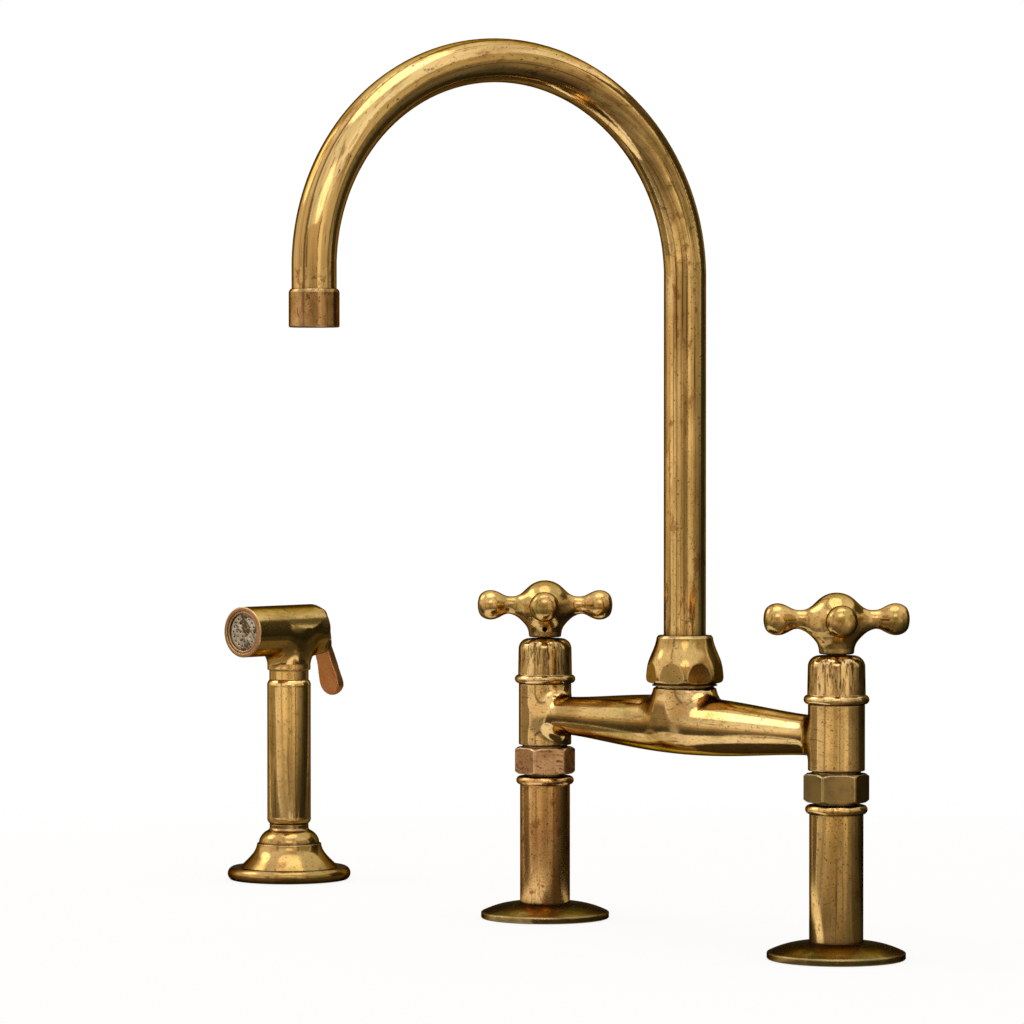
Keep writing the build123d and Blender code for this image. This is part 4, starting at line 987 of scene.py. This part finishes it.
for face in head.data.polygons:
    spot = (face.center * 1000 - Vector(axis)).dot(Vector(aim))
    facing = face.normal.dot(Vector(aim)) > 0.5
    face.material_index = 1 if spot > sprayHead["rimFrom"] and facing else 0
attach(head, "handset")
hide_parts("spray_head")
print("spray head", len(head.data.vertices))

# thumb lever: the frame's lever with its edges worn round
thumb = {"cell": 0.3, "wear": 0.5, "rounds": 14, "pinBore": (-9.0, 9.0, 1.26)}
lever = newThing("thumbLever", frame["nodes"]["trigger_lever"].data.copy())
regrid(lever, thumb["cell"])
worn = lever.modifiers.new("worn", "SMOOTH")
worn.factor = thumb["wear"]
worn.iterations = thumb["rounds"]
settled(lever)
cutBy(lever, solid("pinTool", [(pivot, aside, straight(*thumb["pinBore"]))]))
dress(lever, "fingerWornBrass")
lever.data.polygons.foreach_set("use_smooth", np.ones(len(lever.data.polygons), dtype=bool))
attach(lever, "trigger")
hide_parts("trigger_lever")
print("lever", len(lever.data.vertices))

# the frame's own pieces: by name where they are seen, else by what they are made of
finish = {
    "bridge_body": "castBrass",
    "left_pillar": "freckledDrawnBrass",
    "right_pillar": "wipedDrawnBrass",
    "left_union_nut": "pinkMilledBrass",
    "right_union_nut": "dullMilledBrass",
    "spout_nut": "turnedBrassNut",
    "spout_tube": "bentDrawnBrass",
    "outlet_ring": "wetTurnedBrass",
    "spray_holder": "turnedBrass",
    "hose_ferrule": "turnedBrass",
    "spray_grip": "palmPolishedBrass",
    "spray_head": "agedCastBrassPaintedShade",
    "rose_ring": "pinkTurnedBrass",
    "rose_plate": "platedBrass",
    "trigger_lever": "fingerWornBrass",
}
for side in ("left", "right"):
    finish[side + "_flange"] = "spunBrass"
    finish[side + "_bonnet"] = "turnedBrassHood"
    finish[side + "_handle"] = "forgedBrass"
    finish[side + "_grub_screw"] = "blackenedSteelHoleShade"
bySlot = {
    "aged_brass": "machinedBrass",
    "dark_brass": "machinedBrass",
    "copper_brass": "machinedBrass",
    "plain_brass": "machinedBrass",
    "steel": "drawnSteel",
    "black_rubber": "moldedRubber",
    "nylon": "moldedNylon",
    "alumina": "lappedAlumina",
}
for node, thing in frame["nodes"].items():
    chosen = materials[finish.get(node, bySlot[slots[node]])]
    for place in thing.material_slots:
        place.material = chosen
print("materials made", len(materials))

# stage: pale floor, white surroundings, soft lamps and the cards that stand round the set; metres
stage = {
    "worldTone": "fbf8f4", "worldLight": 0.85,
    "paperTone": "f2f1ee", "floorRadius": 9.0, "floorLevel": -0.0002,
    "shadowFrom": 0.35, "shadowTo": 0.9, "paperGlow": 0.86,  # the paper's shadow fades to white
    "cardMiddle": (-0.05, -0.05, 0.0), "cardLevel": 0.0004, "cardStep": 4,  # degrees
    "matRadius": 0.085, "matTone": "d6bc8c", "matLight": 0.09,
    "lampsAt": (0, -0.05, 0.15),
}


def seenShare(tree):
    # 1 for what the camera sees, directly or in metal and glass
    rays = add(tree, "LightPath", {}).outputs
    seen = add(tree, "Math", {0: rays["Is Camera Ray"], 1: rays["Is Glossy Ray"]}, operation="ADD")
    return add(
        tree, "Math", {0: seen.outputs[0], 1: rays["Is Transmission Ray"]},
        operation="ADD", use_clamp=True,
    ).outputs[0]


def disc(name, radius, sides, level):
    form = bmesh.new()
    bmesh.ops.create_circle(form, cap_ends=True, segments=sides, radius=radius)
    thing = newThing(name, meshFrom(name, form))
    thing.location = (0, 0, level)
    return thing


world = bpy.data.worlds.new("studio")
bpy.context.scene.world = world
tree = emptyTree(world)
soft = add(
    tree, "Background", {"Color": linear(stage["worldTone"]), "Strength": stage["worldLight"]}
)
white = add(tree, "Background", {"Color": linear("ffffff"), "Strength": 1.0})
both = add(tree, "MixShader", {0: seenShare(tree), 1: soft.outputs[0], 2: white.outputs[0]})
add(tree, "OutputWorld", {"Surface": both.outputs[0]})

floor = disc("floor", stage["floorRadius"], 96, stage["floorLevel"])
paper = bpy.data.materials.new("palePaper")  # matt backdrop paper: white, with a faint shadow
tree = emptyTree(paper)
spot = add(tree, "TexCoord", {})
away = add(tree, "VectorMath", {0: spot.outputs["Object"]}, operation="LENGTH")
share = add(
    tree, "MapRange",
    {
        "Value": away.outputs["Value"],
        "From Min": stage["shadowFrom"],
        "From Max": stage["shadowTo"],
        "To Min": stage["paperGlow"],
        "To Max": 1.0,
    },
    interpolation_type="SMOOTHSTEP",
)
weight = add(tree, "Math", {0: seenShare(tree), 1: share.outputs[0]}, operation="MULTIPLY")
matt = add(tree, "BsdfDiffuse", {"Color": linear(stage["paperTone"])})
glow = add(tree, "Emission", {"Color": linear("ffffff"), "Strength": 1.0})
both = add(tree, "MixShader", {0: weight.outputs[0], 1: matt.outputs[0], 2: glow.outputs[0]})
add(tree, "OutputMaterial", {"Surface": both.outputs[0]})
floor.data.materials.append(paper)

# cards round the set, seen only in the metal, in degrees to the camera's right. Strengths follow
# each card out along the floor and up its wall, at these radii and heights
flatCamera = Vector((toCamera.x, toCamera.y, 0)).normalized()
rungs = [
    (0.15, 0.0), (0.45, 0.0), (0.9, 0.0), (2.2, 0.0), (2.2, 0.15), (2.2, 0.35), (2.2, 0.6),
    (2.2, 1.0), (2.2, 1.6),
]
cards = [
    (-126, -84, "f0dcba", (0.09, 0.14, 0.34, 0.34, 0.88, 0.9)),
    (-80, -50, "fff3e0", (0.3, 0.4, 0.7, 0.84, 0.84, 0.88, 0.88, 0.88, 0.88)),
    (-50, -43, "e8dcc4", (0.1, 0.15, 0.36, 0.36, 0.3, 0.3, 0.3, 0.3, 0.3)),
    (-43, -24, "f6e8ce", (0.3, 0.5, 0.86, 0.98, 0.74, 0.68, 0.78, 0.86)),
    (-24, -11, "f0e0c2", (0.2, 0.4, 0.78, 0.9, 0.6, 0.56, 0.7, 0.78)),
    (-11, 5, "ecd8b6", (0.14, 0.32, 0.62, 0.56, 0.34, 0.46, 0.64, 0.74)),
    (5, 12, "eedcbc", (0.2, 0.4, 0.74, 0.84, 0.62, 0.56, 0.68, 0.76)),
    (12, 15, "c8b088", (0.1, 0.16, 0.36, 0.3, 0.14, 0.12, 0.2, 0.4)),
    (15, 31, "f6ead2", (0.24, 0.36, 0.6, 0.72, 0.94, 1.0, 1.0, 1.0)),
    (31, 46, "f6e8cc", (0.2, 0.34, 0.9, 1.0, 0.8, 0.6, 0.66, 0.72)),
    (46, 60, "efe4c6", (0.12, 0.22, 0.4, 0.42, 0.46, 0.54, 0.58, 0.6, 0.6)),
    (60, 76, "e8d8b6", (0.06, 0.1, 0.28, 0.32, 0.38, 0.52, 0.62, 0.66, 0.66)),
    (76, 88, "e2d6b2", (0.05, 0.08, 0.18, 0.2, 0.22, 0.4, 0.54, 0.6, 0.62)),
    (88, 95, "f2e8cc", (0.05, 0.06, 0.1, 0.1, 0.12, 0.5, 0.9, 1.0, 1.0)),
    (95, 134, "cfc6a0", (0.03, 0.04, 0.06, 0.06, 0.06, 0.06, 0.08, 0.12, 0.2)),
    (134, 162, "e6d4ae", (0.06, 0.1, 0.24, 0.34, 0.42, 0.46, 0.48, 0.5, 0.5)),
    (162, 210, "dcc69a", (0.24, 0.32, 0.28, 0.24, 0.22, 0.22, 0.24, 0.28, 0.36)),
    (-150, -128, "ecd8b0", (0.28, 0.36, 0.44, 0.48, 0.5, 0.5, 0.5, 0.5, 0.5)),
]
form = bmesh.new()
glowLayer = form.verts.layers.float_color.new("glow")
for start, end, tone, strengths in cards:
    columns = []
    count = max(3, int(abs(end - start) / stage["cardStep"]))
    for step in range(count + 1):
        angle = math.radians(start + (end - start) * step / count)
        ray = flatCamera * math.cos(angle) + toRight * math.sin(angle)
        column = []
        for (out, high), strength in zip(rungs, strengths):
            lift = Vector((0, 0, high + stage["cardLevel"]))
            vert = form.verts.new(Vector(stage["cardMiddle"]) + ray * out + lift)
            vert[glowLayer] = [part * strength for part in linear(tone)[:3]] + [1.0]
            column.append(vert)
        columns.append(column)
    for a, b in zip(columns, columns[1:]):
        for low in range(len(a) - 1):
            form.faces.new((a[low], b[low], b[low + 1], a[low + 1]))
cardRing = newThing("cardRing", meshFrom("cardRing", form))
painted = bpy.data.materials.new("paintedCard")  # even glow, as a lit card has in polished metal
tree = emptyTree(painted)
shade = add(tree, "Attribute", {}, attribute_name="glow")
glow = add(tree, "Emission", {"Color": shade.outputs["Color"], "Strength": 1.0})
add(tree, "OutputMaterial", {"Surface": glow.outputs[0]})
cardRing.data.materials.append(painted)

# dark mat under the bridge, seen only in the metal
mat = disc("cardMat", stage["matRadius"], 64, stage["cardLevel"])
felt = bpy.data.materials.new("darkFelt")  # dim: darkens what the bridge shows from below
tree = emptyTree(felt)
glow = add(tree, "Emission", {"Color": linear(stage["matTone"]), "Strength": stage["matLight"]})
add(tree, "OutputMaterial", {"Surface": glow.outputs[0]})
mat.data.materials.append(felt)
for thing in (cardRing, mat):
    thing.visible_camera = False
    thing.visible_diffuse = False
    thing.visible_shadow = False

# name, place, width in metres, watts, colour
lamps = [
    ("keyLamp", (-1.5, -1.0, 1.5), 1.0, 6.0, "fff4e2"),
    ("topLamp", (0.1, -0.2, 2.2), 1.6, 9.0, "fffaf2"),
    ("fillLamp", (1.6, -1.3, 1.2), 1.0, 3.0, "fff1dc"),
]
for name, spot, size, power, tone in lamps:
    data = bpy.data.lights.new(name, "AREA")
    data.shape = "DISK"
    data.size = size
    data.energy = power
    data.color = linear(tone)[:3]
    lamp = newThing(name, data)
    lamp.location = spot
    ray = Vector(stage["lampsAt"]) - Vector(spot)
    lamp.rotation_euler = ray.to_track_quat("-Z", "Y").to_euler()
print("stage set")
